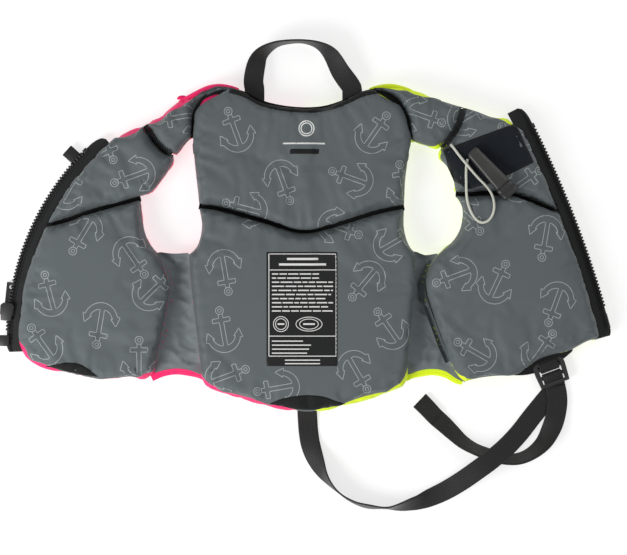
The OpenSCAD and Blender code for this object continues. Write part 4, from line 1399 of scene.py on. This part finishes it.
def add_hem(side, points):
    """The coloured hem below a side panel: a rolled band with a dotted row of stitches."""
    line = curve(points)
    ways = sides_of(line)

    def place(i, k):
        u, z = HEM_SECTION[k]
        wave = 0.5 * ripple(i * 2 * MM, 16 * MM, len(side))
        return Vector((*(line[i] + ways[i] * u * MM), (z + wave) * MM))

    into = drawn_along(line, len(HEM_SECTION), place, closed=True)
    made = piece(side + "_hem_band", into.points, into.faces, SIDE_SHELL[side])
    bend_at_side(made, side, HEM_BEND)
    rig.replaces(made, side + "_side_hem")
    dots = Pieces()
    for at in range(1, len(line) - 1, 2):
        spot = Vector((*(line[at] + ways[at] * 1.7 * MM), 5.75 * MM))
        along = Vector((*(line[at + 1] - line[at]), 0)).normalized() * 1.1 * MM
        stitch(dots, spot - along, spot + along, UP, 0.3 * MM)
    stitches = piece(side + "_hem_stitches", dots.points, dots.faces, SIDE_SHELL[side])
    bend_at_side(stitches, side, HEM_BEND)


add_side("left", seed=11)
add_side("right", seed=17)
add_hem("left", [(-102, -77.5), (-108, -75), (-116, -73.3), (-130, -71.5), (-144, -73.5), (-156, -78.5)])
add_hem("right", [(160, -82), (153, -80.5), (143, -75), (130, -72.3), (116, -74), (107, -76), (101, -79)])


# ---- zip ----

class ZipRow:
    """One row of teeth: the arc that the CAD sets it on, and places along and across it."""

    def __init__(self, top, mid, end):
        a, b, c = (np.array(p) * MM for p in (top, mid, end))
        d = 2 * (a[0] * (b[1] - c[1]) + b[0] * (c[1] - a[1]) + c[0] * (a[1] - b[1]))
        squares = [p @ p for p in (a, b, c)]
        x = squares[0] * (b[1] - c[1]) + squares[1] * (c[1] - a[1]) + squares[2] * (a[1] - b[1])
        y = squares[0] * (c[0] - b[0]) + squares[1] * (a[0] - c[0]) + squares[2] * (b[0] - a[0])
        self.centre = np.array([x, y]) / d
        self.radius = np.linalg.norm(a - self.centre)
        self.first = self.bearing(a)
        self.last = self.bearing(c)
        self.length = self.radius * abs(self.last - self.first)

    def bearing(self, p):
        angle = math.atan2(*(p - self.centre)[::-1])
        return angle + 2 * math.pi if angle < -math.pi / 2 else angle

    def angle(self, f):
        return self.first + (self.last - self.first) * f

    def at(self, f, off):
        a = self.angle(f)
        return self.centre + (self.radius - off) * np.array([math.cos(a), math.sin(a)])


LEFT_ZIP = ZipRow((-219, 157), (-274, 82), (-303, -46))
RIGHT_ZIP = ZipRow((229, 183), (271, 90), (310, -28))
ZIP_Z = 9 * MM
TOOTH_PITCH = 3.6 * MM
# The first tooth's place, as a share of its row.
TEETH_START = 0.03
# The tape's section: distance in from the teeth's line and rise, in millimetres.
TAPE_SECTION = [(1.2, 0.0), (2.0, 0.7), (3.2, 1.0), (4.2, 1.0), (5.2, 0.2), (7.0, 0.3), (9.5, 0.9),
                (12.0, 1.6), (14.5, 2.4), (17.0, 3.4), (19.5, 4.6)]


def add_tape(name, row, body, node, before, after, seed):
    """Ribbed tape from the teeth to under the block's seam, with a rolled, rounded top."""
    into = Pieces()
    steps = np.arange(-before, row.length + after, 2.5 * MM)
    rows = []
    for run in steps:
        f = run / row.length
        past = max(-run / max(before, 1e-6), 0, (run - row.length) / max(after, 1e-6))
        rounding = 7 * MM * (1 - math.sqrt(max(0, 1 - min(past, 1) ** 2)))
        wave = 0.5 * MM * ripple(run, 26 * MM, seed)
        line = []
        for off, rise in TAPE_SECTION:
            across = off * MM + rounding * max(0, 1 - off / 12)
            spot = row.at(f, across)
            line.append((Vector((*spot, ZIP_Z + rise * MM + wave * min(off / 8, 1))), (off * MM, run)))
        rows.append(line)
    turned = row.last > row.first
    for a, b in zip(rows, rows[1:]):
        for k in range(len(TAPE_SECTION) - 1):
            corners = [a[k], b[k], b[k + 1], a[k + 1]] if turned else [a[k], a[k + 1], b[k + 1], b[k]]
            into.quad([c[0] for c in corners], [c[1] for c in corners])
            under = [(c[0] - UP * 1.2 * MM, c[1]) for c in reversed(corners)]
            into.quad([c[0] for c in under], [c[1] for c in under])
    into.made(name, "zip_tape", body, node)
    threads = Pieces()
    for off in (6.3, 13.2):
        for run in np.arange(4 * MM, row.length - 4 * MM, 4.2 * MM):
            ends = [row.at((run + k) / row.length, off * MM) for k in (0, 2.9 * MM)]
            high = ZIP_Z + (0.75 if off < 10 else 2.35) * MM
            stitch(threads, Vector((*ends[0], high)), Vector((*ends[1], high)), UP, 0.3 * MM)
    threads.made(name + "_stitches", "stitching", body)


# A tooth seen from above: out from the row's line and along it, in millimetres.
TOOTH = [(-4.0, -1.0), (-2.6, -1.15), (-2.2, -0.7), (-1.5, -0.75), (-1.1, -1.2), (-0.3, -0.95), (0.0, -0.35),
         (0.0, 0.35), (-0.3, 0.95), (-1.1, 1.2), (-1.5, 0.75), (-2.2, 0.7), (-2.6, 1.15), (-4.0, 1.0)]


def add_teeth(name, row, body, node, last):
    """Moulded teeth: a clasp on the tape, a narrow neck and a wedge-shaped head, all with soft edges."""
    into = Pieces()
    first = TEETH_START + 5 * MM / row.length
    count = int((last - first) * row.length / TOOTH_PITCH)
    for i in range(count):
        f = first + i * TOOTH_PITCH / row.length
        a = row.angle(f)
        out = Vector((math.cos(a), math.sin(a), 0))
        along = Vector((-math.sin(a), math.cos(a), 0))
        centre = Vector((*row.at(f, 0), ZIP_Z))
        rings = []
        for z, share in ((-2.2, 0.72), (-1.7, 1.0), (1.7, 1.0), (2.2, 0.72)):
            rings.append([centre + out * (x * share - 1.9 * (1 - share)) * MM + along * y * share * MM
                          + UP * z * MM for x, y in TOOTH])
        points = [p for r in rings for p in r]
        sides = len(TOOTH)
        faces = [tuple(reversed(range(sides))), tuple(range(3 * sides, 4 * sides))]
        for level in range(3):
            for k in range(sides):
                b = level * sides + k
                c = level * sides + (k + 1) % sides
                faces.append((b, c, c + sides, b + sides))
        into.add(points, faces)
    into.made(name, "zip_teeth", body, node)


add_tape("left_tape_cloth", LEFT_ZIP, "left_front", "left_zip_tape",
         before=17 * MM, after=9 * MM, seed=31)
add_tape("right_tape_cloth", RIGHT_ZIP, "right_front", "right_zip_tape",
         before=16 * MM, after=10 * MM, seed=37)
add_teeth("left_teeth_row", LEFT_ZIP, "left_front", "left_zip_teeth", last=0.955)
add_teeth("right_teeth_row", RIGHT_ZIP, "right_front", "right_zip_teeth", last=0.925)


# ---- rigid pieces: the CAD's own shapes with eased edges ----

# Edges that turn by more than the first are rounded, and those that turn by more than the second look sharp.
ROUNDED_TURN, SHARP_TURN = math.radians(28), math.radians(42)


def eased(node, body, material, radius):
    """The CAD's own shape, with its edges rounded."""
    source = frame["nodes"][node]
    shape = bmesh.new()
    shape.from_mesh(source.data)
    shape.transform(source.matrix_world)
    bmesh.ops.remove_doubles(shape, verts=shape.verts, dist=1e-6)
    bmesh.ops.dissolve_limit(shape, angle_limit=math.radians(2), verts=shape.verts, edges=shape.edges)
    sharp = [e for e in shape.edges if len(e.link_faces) == 2 and e.calc_face_angle(0) > ROUNDED_TURN]
    bmesh.ops.bevel(shape, geom=sharp, offset=radius, segments=2, profile=0.5, affect="EDGES",
                    clamp_overlap=True)
    bmesh.ops.triangulate(shape, faces=shape.faces)
    mesh = bpy.data.meshes.new(node + "_shown")
    shape.to_mesh(mesh)
    shape.free()
    mesh.materials.append(MATERIALS[material])
    made = bpy.data.objects.new(node + "_shown", mesh)
    bpy.context.scene.collection.objects.link(made)
    for polygon in mesh.polygons:
        polygon.use_smooth = True
    mesh.set_sharp_from_angle(angle=SHARP_TURN)
    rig.slot(made, material)
    return settle(made, body, node)


for node in ("left_zip_stop", "left_zip_box"):
    eased(node, "left_front", "zip_teeth", 0.3 * MM)
for node in ("right_zip_stop", "right_zip_pin"):
    eased(node, "right_front", "zip_teeth", 0.3 * MM)
eased("zip_slider", "zip_slider", "black_plastic", 0.35 * MM)
eased("zip_pull", "zip_pull", "black_plastic", 0.3 * MM)
eased("strap_buckle", "strap_buckle", "black_plastic", 0.6 * MM)


# ---- webbing loops: handle, buckle loops, ribbon loop ----

# The handle's route, as the CAD's.
HANDLE = [(-51, 199, 14, 0), (-51, 204, 14, 0), (-51, 211, 14, 0), (-51.1, 213.5, 14, 0),
          (-52, 222, 14, 5), (-49, 238, 14, 25), (-43, 249, 14, 55), (-30, 257.5, 14, 80),
          (-15, 260.5, 14, 88), (0, 260.5, 14, 88), (14, 256.5, 14, 75), (26, 247, 14, 45),
          (36, 230, 14, 20), (44.3, 218.5, 14, 5), (47.4, 213.5, 14, 0), (47.5, 211, 14, 0),
          (47.5, 204, 14, 0), (47.5, 199, 14, 0)]


def add_handle():
    """The grab handle: one loop of webbing that bends up from its sewn ends."""
    line, _ = route(HANDLE, WEB_STEP)
    loop = sweep("grab_handle_web", line, flat_section(WEB_W, WEB_T), "webbing")
    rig.blend(loop, "back", "grab_handle", start=(0, 0.2075, 0.014), end=(0, 0.2135, 0.014))
    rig.replaces(loop, "grab_handle", "handle_bar_tacks")


def web_bend(name, body, place, profile, width, thickness, *nodes):
    """Webbing bent round a bar: a side view of (along, height) drawn out to the webbing's width."""
    origin, across, along = place
    line = np.array(profile) * MM
    ways = sides_of(line)
    into = Pieces()
    half = width / 2
    columns = [(-half, 0.0), (-half * 0.93, 1.0), (half * 0.93, 1.0), (half, 0.0)]

    def spot(i, way, u, full):
        p = line[i] + ways[i] * way * thickness / 2 * (0.35 + 0.65 * full)
        return origin + across * u + along * p[0] + UP * p[1]

    run = [0.0]
    for a, b in zip(line, line[1:]):
        run.append(run[-1] + np.linalg.norm(b - a))
    ring = [(1, c) for c in columns] + [(-1, c) for c in reversed(columns)]
    for i in range(len(line) - 1):
        for (way_a, a), (way_b, b) in zip(ring, ring[1:] + ring[:1]):
            corners = [spot(i, way_a, *a), spot(i + 1, way_a, *a), spot(i + 1, way_b, *b), spot(i, way_b, *b)]
            into.quad(corners, [(a[0], run[i]), (a[0], run[i + 1]), (b[0], run[i + 1]), (b[0], run[i])])
    if body is None:
        return piece(name, into.points, into.faces, "webbing", strip=into.strip)
    return into.made(name, "webbing", body, *nodes)


def turn_round(y, z, radius, start, end, steps=10):
    """Points on a bend: from one bearing to another round (y, z), in degrees."""
    return [(y + radius * math.cos(math.radians(a)), z + radius * math.sin(math.radians(a)))
            for a in np.linspace(start, end, steps)]


# The buckle's bars: the place of the middle, and the directions along a bar and towards the jacket.
BUCKLE_TURN = math.radians(20)
BUCKLE = (Vector((245.9, -64.3, 6.4)) * MM, Vector((math.cos(BUCKLE_TURN), math.sin(BUCKLE_TURN), 0)),
          Vector((-math.sin(BUCKLE_TURN), math.cos(BUCKLE_TURN), 0)))


def add_webbing_loops():
    """The tab that holds the buckle, the strap's turn round its bar, and the ribbon loop beside the zip."""
    tab = [(15, -3.2), (9, -3.2), (2, -3.2)] + turn_round(-4.3, 0, 3.2, -90, -270)
    tab += [(1, 3.0), (6, 0.6), (11, -1.2)]
    made = web_bend("buckle_tab_web", None, BUCKLE, tab, WEB_W, WEB_T)
    root, free = BUCKLE[0] + BUCKLE[2] * 13 * MM, BUCKLE[0] + BUCKLE[2] * 7 * MM
    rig.blend(made, "right_front", "strap_buckle", start=root, end=free)
    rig.replaces(made, "buckle_tab")
    wrap = [(-25.5, -3.2), (-20, -3.2), (-15, -3.2)] + turn_round(-13.1, 0, 3.2, -90, 90)
    wrap += [(-16, 2.2), (-20, -0.6), (-24, -1.6)]
    web_bend("strap_wrap_web", "strap_buckle", BUCKLE, wrap, WEB_W, WEB_T, "strap_wrap")
    share = 0.085  # of the way down the row of teeth
    a = LEFT_ZIP.angle(share)
    place = (Vector((*LEFT_ZIP.at(share, 0), 0)), Vector((-math.sin(a), math.cos(a), 0)),
             Vector((math.cos(a), math.sin(a), 0)))
    bend = [(-15, 5.2), (-8, 4.6), (0, 4.4), (8, 4.6)] + turn_round(11, 5.9, 1.2, -90, 90, 7)
    bend += [(8, 7.0), (2, 6.4), (-4, 6.2)]
    web_bend("ribbon_loop_web", "left_front", place, bend, 13 * MM, 1.0 * MM, "left_ribbon_loop")


add_handle()
add_webbing_loops()


# ---- patches, pocket, whistle, label ----

POCKET_LOOP = top_loops("whistle_pocket")[0]
PATCH_LIFT = 0.9 * MM
cover("back", "back_patch_cloth", "black_cloth", top_loops("back_strap_patch")[0], PATCH_LIFT,
      ["back_strap_patch"])
cover("left_front", "left_patch_cloth", "black_cloth", top_loops("left_strap_patch")[0], PATCH_LIFT,
      ["left_strap_patch"])
cover("right_front", "pocket_cloth_panel", "pocket_cloth", POCKET_LOOP, PATCH_LIFT, ["whistle_pocket"],
      puff=0.5 * MM)


def add_pocket_edges():
    """The zigzag that sews the whistle's pocket down all round."""
    loop = even_loop(POCKET_LOOP, 2 * MM)
    inner = loop + inward(loop) * 1.8 * MM
    into = Pieces()
    zigzag(into, "right_front", np.vstack([inner, inner[:1]]), 2.6 * MM, 2.2 * MM, 1.2 * MM,
           radius=0.28 * MM)
    into.made("pocket_zigzag", "stitching", "right_front")


add_pocket_edges()


def add_right_patch():
    """Black cloth under the hem by the buckle, from its seam down to the floor."""
    outline = even_loop(top_loops("right_strap_patch")[0], 2 * MM)
    flat, faces = filled(outline, [0.8 * MM, 2 * MM], 3 * MM)
    points = []
    for x, y in flat:
        hit, _, _, far = TOPS["right_front"].find_nearest(Vector((x, y, SEAM_Z)))
        points.append((x, y, max(1.2 * MM, SEAM_Z * 0.8 - far * 0.5)))
    made = piece("right_patch_cloth", points, faces_up(faces, flat), "black_cloth")
    settle(made, "right_front", "right_strap_patch")


add_right_patch()


# Along the whistle: place, half width, and how far in from its lower and upper face, in millimetres.
WHISTLE_BODY = [(0.0, 4.3, 2.2), (0.7, 5.4, 1.0), (1.8, 6.0, 0.35), (3.2, 6.3, 0.1), (10, 6.6, 0.0),
                (24, 7.2, 0.0), (38, 7.9, 0.0), (45.5, 8.25, 0.0), (46.4, 8.2, 0.15), (46.8, 7.6, 0.8),
                (49, 7.6, 0.8)]
WHISTLE_COLLAR = [(47.2, 7.4, 1.0), (47.4, 8.6, 0.3), (48.0, 9.2, 0.0), (53.4, 9.25, 0.0), (53.7, 9.0, 0.3),
                  (54.1, 9.0, 0.3), (54.4, 9.25, 0.0), (59.2, 9.2, 0.0), (60.0, 8.7, 0.5), (60.0, 7.2, 1.9),
                  (59.4, 6.8, 2.2), (50.0, 6.6, 2.4)]
# Its bearing, and the place of its capped end.
WHISTLE_TURN = math.radians(-47.3)
WHISTLE_START = (0.1655, 0.149)
# How square its section is (1 is an ellipse), and where its side groove runs.
SQUARENESS = 0.42
GROOVE_FROM, GROOVE_TO = 5, 44


def add_whistle():
    """A slim tapered whistle: rounded cap, side groove, ridged collar, hollow mouth and two eyelets."""
    low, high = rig.box("whistle")
    along = Vector((math.cos(WHISTLE_TURN), math.sin(WHISTLE_TURN), 0))
    across = Vector((-along.y, along.x, 0))
    start = Vector((*WHISTLE_START, low.z))
    tall = (high.z - low.z) / MM
    count = 48

    def ring(x, half, inset, groove):
        made = []
        for k in range(count):
            a = 2 * math.pi * k / count
            c, q = math.cos(a), math.sin(a)
            u = math.copysign(abs(c) ** SQUARENESS, c) * half
            v = math.copysign(abs(q) ** SQUARENESS, q) * (tall / 2 - inset)
            if groove and k in (5, 6):
                u, v = u - 0.5, v - 0.7
            made.append(start + (along * x + across * u + UP * (tall / 2 + v)) * MM)
        return made

    def tube(name, rows, material, groove, nodes, closed):
        into = Pieces()
        rings = [ring(x, half, inset, groove and GROOVE_FROM < x < GROOVE_TO) for x, half, inset in rows]
        for a, b in zip(rings, rings[1:]):
            for k in range(count):
                into.quad([a[k], b[k], b[(k + 1) % count], a[(k + 1) % count]])
        for end in closed:
            middle = sum(rings[end], Vector()) / count
            for k in range(count):
                corners = [rings[end][k], rings[end][(k + 1) % count], middle]
                into.add(corners, [(0, 1, 2) if end == 0 else (2, 1, 0)])
        return into.made(name, material, "whistle", *nodes)

    body = tube("whistle_body", WHISTLE_BODY, "whistle_plastic", True, ["whistle"], [0, -1])
    tube("whistle_collar", WHISTLE_COLLAR, "black_plastic", False, [], [-1])
    eyes = Pieces()
    for side in (-1, 1):
        centre = start + (along * 4 + across * side * 6.25 + UP * tall / 2) * MM
        for k in range(24):
            quad = []
            for a, b in ((k, 0), (k + 1, 0), (k + 1, 1), (k, 1)):
                t = 2 * math.pi * a / 24
                reach = (1.35 + 0.45 * b) * MM
                out = across * side * (0.5 - 0.5 * b) * MM
                quad.append(centre + out + (along * math.cos(t) + UP * math.sin(t)) * reach)
            eyes.quad(quad if side > 0 else quad[::-1])
    eyes.made("whistle_eyelets", "black_plastic", "whistle")
    return body


add_lanyard(add_whistle())


def corners_of(low, high, inset=0.0):
    """A box's four corners seen from above, moved in by inset."""
    x0, y0, x1, y1 = low.x + inset, low.y + inset, high.x - inset, high.y - inset
    return [(x0, y0), (x1, y0), (x1, y1), (x0, y1)]


def straight(start, end):
    """A straight line between two points given in millimetres."""
    return even_path(scaled([start, end]), 3 * MM)[0]


def add_label():
    """The care label: black woven cloth, a printed frame, rows of bars for text and plain round emblems."""
    low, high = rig.box("care_label")
    loop = corners_of(low, high)
    cover("back", "care_label_cloth", "label_cloth", loop, 0.6 * MM, ["care_label"])
    ink = Pieces()
    lift = 0.78 * MM

    def bar(x0, x1, y, width):
        ribbon(ink, "back", straight((x0, y), (x1, y)), width * MM, lift)

    left, right, bottom, top = -36, 31, -56, 46
    for a, b in (((left, top), (right, top)), ((right, top), (right, bottom)),
                 ((right, bottom), (left, bottom)), ((left, bottom), (left, top)),
                 ((left, -36), (right, -36)), ((left, 30), (right, 30))):
        ribbon(ink, "back", straight(a, b), 0.8 * MM, lift)
    chance = random.Random(5)
    bar(-18, 13, 41, 2.2)
    bar(-26, 21, 35.5, 2.2)
    for k in range(10):
        y = 26 - k * 4.1
        end = 28 - chance.choice((0, 0, 2, 5, 14))
        start = -33
        while start < end - 2:
            stop = min(end, start + chance.uniform(4, 13))
            bar(start, stop, y, 1.25)
            start = stop + 1.3
    for y in (-41, -45, -49, -53):
        bar(-33, 6 - (y % 5) * 2, y, 1.1)
    for y in (-60, -63.5):
        bar(-20, 15, y, 1.1)
    for cx, cy, rx, ry in ((-24, -24, 7.5, 7.5), (4, -24, 13, 7)):
        for share in (1.0, 0.72):
            ring = arc_points(cx, cy, rx * share, ry * share, 0, 360, 33)
            ribbon(ink, "back", scaled(ring), 0.7 * MM, lift)
        bar(cx - rx * 0.45, cx + rx * 0.45, cy, 1.6)
    ink.made("care_label_ink", "label_ink", "back")
    threads = Pieces()
    edge = even_loop(np.array(corners_of(low, high, 1.2 * MM)), 2 * MM)
    run_stitches(threads, "back", np.vstack([edge, edge[:1]]), 0.75 * MM, radius=0.25 * MM)
    threads.made("care_label_stitches", "stitching", "back")


add_label()


# ---- prints ----

def anchor_strokes():
    """Outline of a plain anchor, one unit high, as closed strokes."""
    ring = arc_points(0, 0.42, 0.085, 0.085, 0, 360, 19)
    hole = arc_points(0, 0.42, 0.04, 0.04, 0, 360, 13)
    stock = [(-0.19, 0.17), (-0.19, 0.26), (-0.045, 0.26), (-0.045, 0.335), (0.045, 0.335), (0.045, 0.26),
             (0.19, 0.26), (0.19, 0.17), (0.045, 0.17), (0.045, -0.33)]
    stock += arc_points(0, -0.1, 0.25, 0.24, -72, -12, 7)
    stock += [(0.2, -0.17), (0.34, -0.01), (0.4, -0.22), (0.335, -0.19)]
    stock += arc_points(0, -0.1, 0.36, 0.38, -20, -160, 15)
    stock += [(-0.4, -0.22), (-0.34, -0.01), (-0.2, -0.17), (-0.25, -0.15)]
    stock += arc_points(0, -0.1, 0.25, 0.24, -168, -108, 7)
    stock += [(-0.045, -0.33), (-0.045, 0.17), (-0.19, 0.17)]
    return [ring, hole, stock]


# Where each anchor is printed: body, centre in millimetres, and how far it is turned in degrees.
PRINTS = [
    ("back", -70, 170, 20), ("back", 70, 168, -35), ("back", -60, 92, 75),
    ("back", 35, 72, -110), ("back", 98, 116, 10), ("back", 60, 18, 140), ("back", 90, 58, -60),
    ("back", 84, -28, 35), ("back", 52, -72, -150), ("back", -28, -88, 100), ("back", -82, -30, 10),
    ("back", -78, -76, -70), ("back", -80, 28, 190), ("back", -22, 118, -160), ("back", 46, 122, 70),
    ("left_front", -200, 158, 205), ("left_front", -172, 124, 110), ("left_front", -222, 66, 150),
    ("left_front", -172, 42, 215), ("left_front", -255, 6, 15), ("left_front", -205, -25, 170),
    ("left_front", -262, -44, 35), ("left_front", -166, -60, 0), ("left_front", -152, 10, -45),
    ("left_front", -236, 112, -30), ("left_front", -126, 183, 100),
    ("right_front", 118, 184, -110), ("right_front", 164, 184, -60), ("right_front", 162, 84, -140),
    ("right_front", 218, 118, -55), ("right_front", 240, 62, 170), ("right_front", 192, 18, -25),
    ("right_front", 250, -4, 160), ("right_front", 170, -52, 60), ("right_front", 236, -50, -35),
    ("right_front", 150, 24, 110), ("right_front", 216, 168, 75),
]
ANCHOR_SIZE = 47
LABEL_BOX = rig.box("care_label")
LABEL_MARGIN = 1 * MM
PRINT_WIDTH, PRINT_LIFT = 0.75 * MM, 0.12 * MM


def is_covered(body, p):
    """Whether the care label or the whistle's pocket lies over a printed point."""
    if body == "back":
        low, high = LABEL_BOX
        return (low.x - LABEL_MARGIN < p[0] < high.x + LABEL_MARGIN
                and low.y - LABEL_MARGIN < p[1] < high.y + LABEL_MARGIN)
    return body == "right_front" and bool(is_inside(np.array([p]), POCKET_LOOP)[0])


def open_runs(body, line):
    """The stretches of a line that nothing covers."""
    runs = [[]]
    for p in line:
        if is_covered(body, p):
            runs.append([])
        else:
            runs[-1].append(p)
    return [run for run in runs if len(run) > 2]


def add_prints():
    """The anchors printed on the linings, in one piece for each body."""
    inks = {body: Pieces() for body in TOPS}
    for body, x, y, turn in PRINTS:
        c, q = ANCHOR_SIZE * math.cos(math.radians(turn)), ANCHOR_SIZE * math.sin(math.radians(turn))
        for stroke in anchor_strokes():
            line = scaled([(x + a * c - b * q, y + a * q + b * c) for a, b in stroke])
            for run in open_runs(body, even_path(line, 1.6 * MM)[0]):
                ribbon(inks[body], body, run, PRINT_WIDTH, PRINT_LIFT)
    for body, ink in inks.items():
        ink.made(body + "_print", "print", body)


add_prints()


def add_size_marks():
    """Upper back: a plain printed ring over a bar, and the small black loop label below them."""
    ink = Pieces()
    for radius in (7.5, 5.4):
        ring = arc_points(1.5, 171.5, radius, radius, 0, 360, 31)
        ribbon(ink, "back", scaled(ring), 1.1 * MM, 0.14 * MM)
    ribbon(ink, "back", straight((-22, 156.5), (20, 156.5)), 1.6 * MM, 0.14 * MM)
    ink.made("neck_mark_ink", "label_ink", "back")
    loop = scaled([(-15, 146), (14, 146), (14, 151), (-15, 151)])
    cover("back", "neck_tab_cloth", "black_cloth", loop, 0.7 * MM, [])


add_size_marks()


# Where the side seams' thread ends lie.
THREAD_LINES = {
    "left": [(-144, 44), (-139, 32), (-134.5, 15), (-135, -5), (-140, -30), (-146, -55)],
    "right": [(131, 43), (124, 33), (119.5, 22), (120, 8), (124, -8), (131, -30), (139, -52)],
}


def add_thread_ends(side):
    """Short coloured thread ends along a side seam."""
    chance = random.Random(9)
    into = Pieces()
    line = curve(THREAD_LINES[side])
    for i in range(2, len(line) - 3, 3):
        if chance.random() < 0.45:
            spot = Vector((*line[i], 11.2 * MM))
            along = Vector((*(line[i + 1] - line[i]), 0)).normalized()
            step = (along + Vector((chance.uniform(-0.8, 0.8), chance.uniform(-0.5, 0.5), 0.1))) * 1.6 * MM
            stitch(into, spot, spot + step, UP, 0.3 * MM)
    made = piece(side + "_front_thread_ends", into.points, into.faces, SIDE_SHELL[side])
    settle(made, side + "_front")


for side in THREAD_LINES:
    add_thread_ends(side)


# ---- stage ----

# Soft lights: name, place, size in metres and power in watts.
LIGHTS = [("key", (-1.05, -0.75, 1.0), 0.8, 22), ("fill", (1.0, 0.9, 1.3), 1.2, 7)]
LIT_POINT = Vector((0, 0.02, 0))


def add_light(name, spot, size, power):
    light = bpy.data.lights.new(name, "AREA")
    light.size = size
    light.energy = power
    lamp = bpy.data.objects.new(name, light)
    lamp.location = spot
    lamp.rotation_euler = (LIT_POINT - Vector(spot)).to_track_quat("-Z", "Y").to_euler()
    bpy.context.scene.collection.objects.link(lamp)


def add_stage():
    """A pale floor, a white studio and broad soft lights."""
    reach = 4.0
    floor = bpy.data.meshes.new("floor")
    corners = [(-reach, -reach, 0), (reach, -reach, 0), (reach, reach, 0), (-reach, reach, 0)]
    floor.from_pydata(corners, [], [(0, 1, 2, 3)])
    stage = bpy.data.objects.new("floor", floor)
    stage.location.z = -0.3 * MM
    ground = Shader("floor", (0.42, 0.42, 0.42), 0.9, 0.1)
    ground.skin.inputs["Emission Color"].default_value = (1, 1, 1, 1)
    ground.skin.inputs["Emission Strength"].default_value = 0.66
    floor.materials.append(ground.material)
    bpy.context.scene.collection.objects.link(stage)
    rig.stage(stage)
    world = bpy.data.worlds.new("studio")
    world.use_nodes = True
    world.node_tree.nodes["Background"].inputs["Color"].default_value = (1, 1, 1, 1)
    world.node_tree.nodes["Background"].inputs["Strength"].default_value = 0.43
    bpy.context.scene.world = world
    for light in LIGHTS:
        add_light(*light)
    view = bpy.context.scene.view_settings
    view.view_transform = "Standard"
    view.look = "None"


add_stage()
with open("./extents.json", "w") as kept:
    boxes = {"cad": CAD_BOX, "shown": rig.bounds()}
    json.dump({name: [list(corner) for corner in box] for name, box in boxes.items()}, kept)
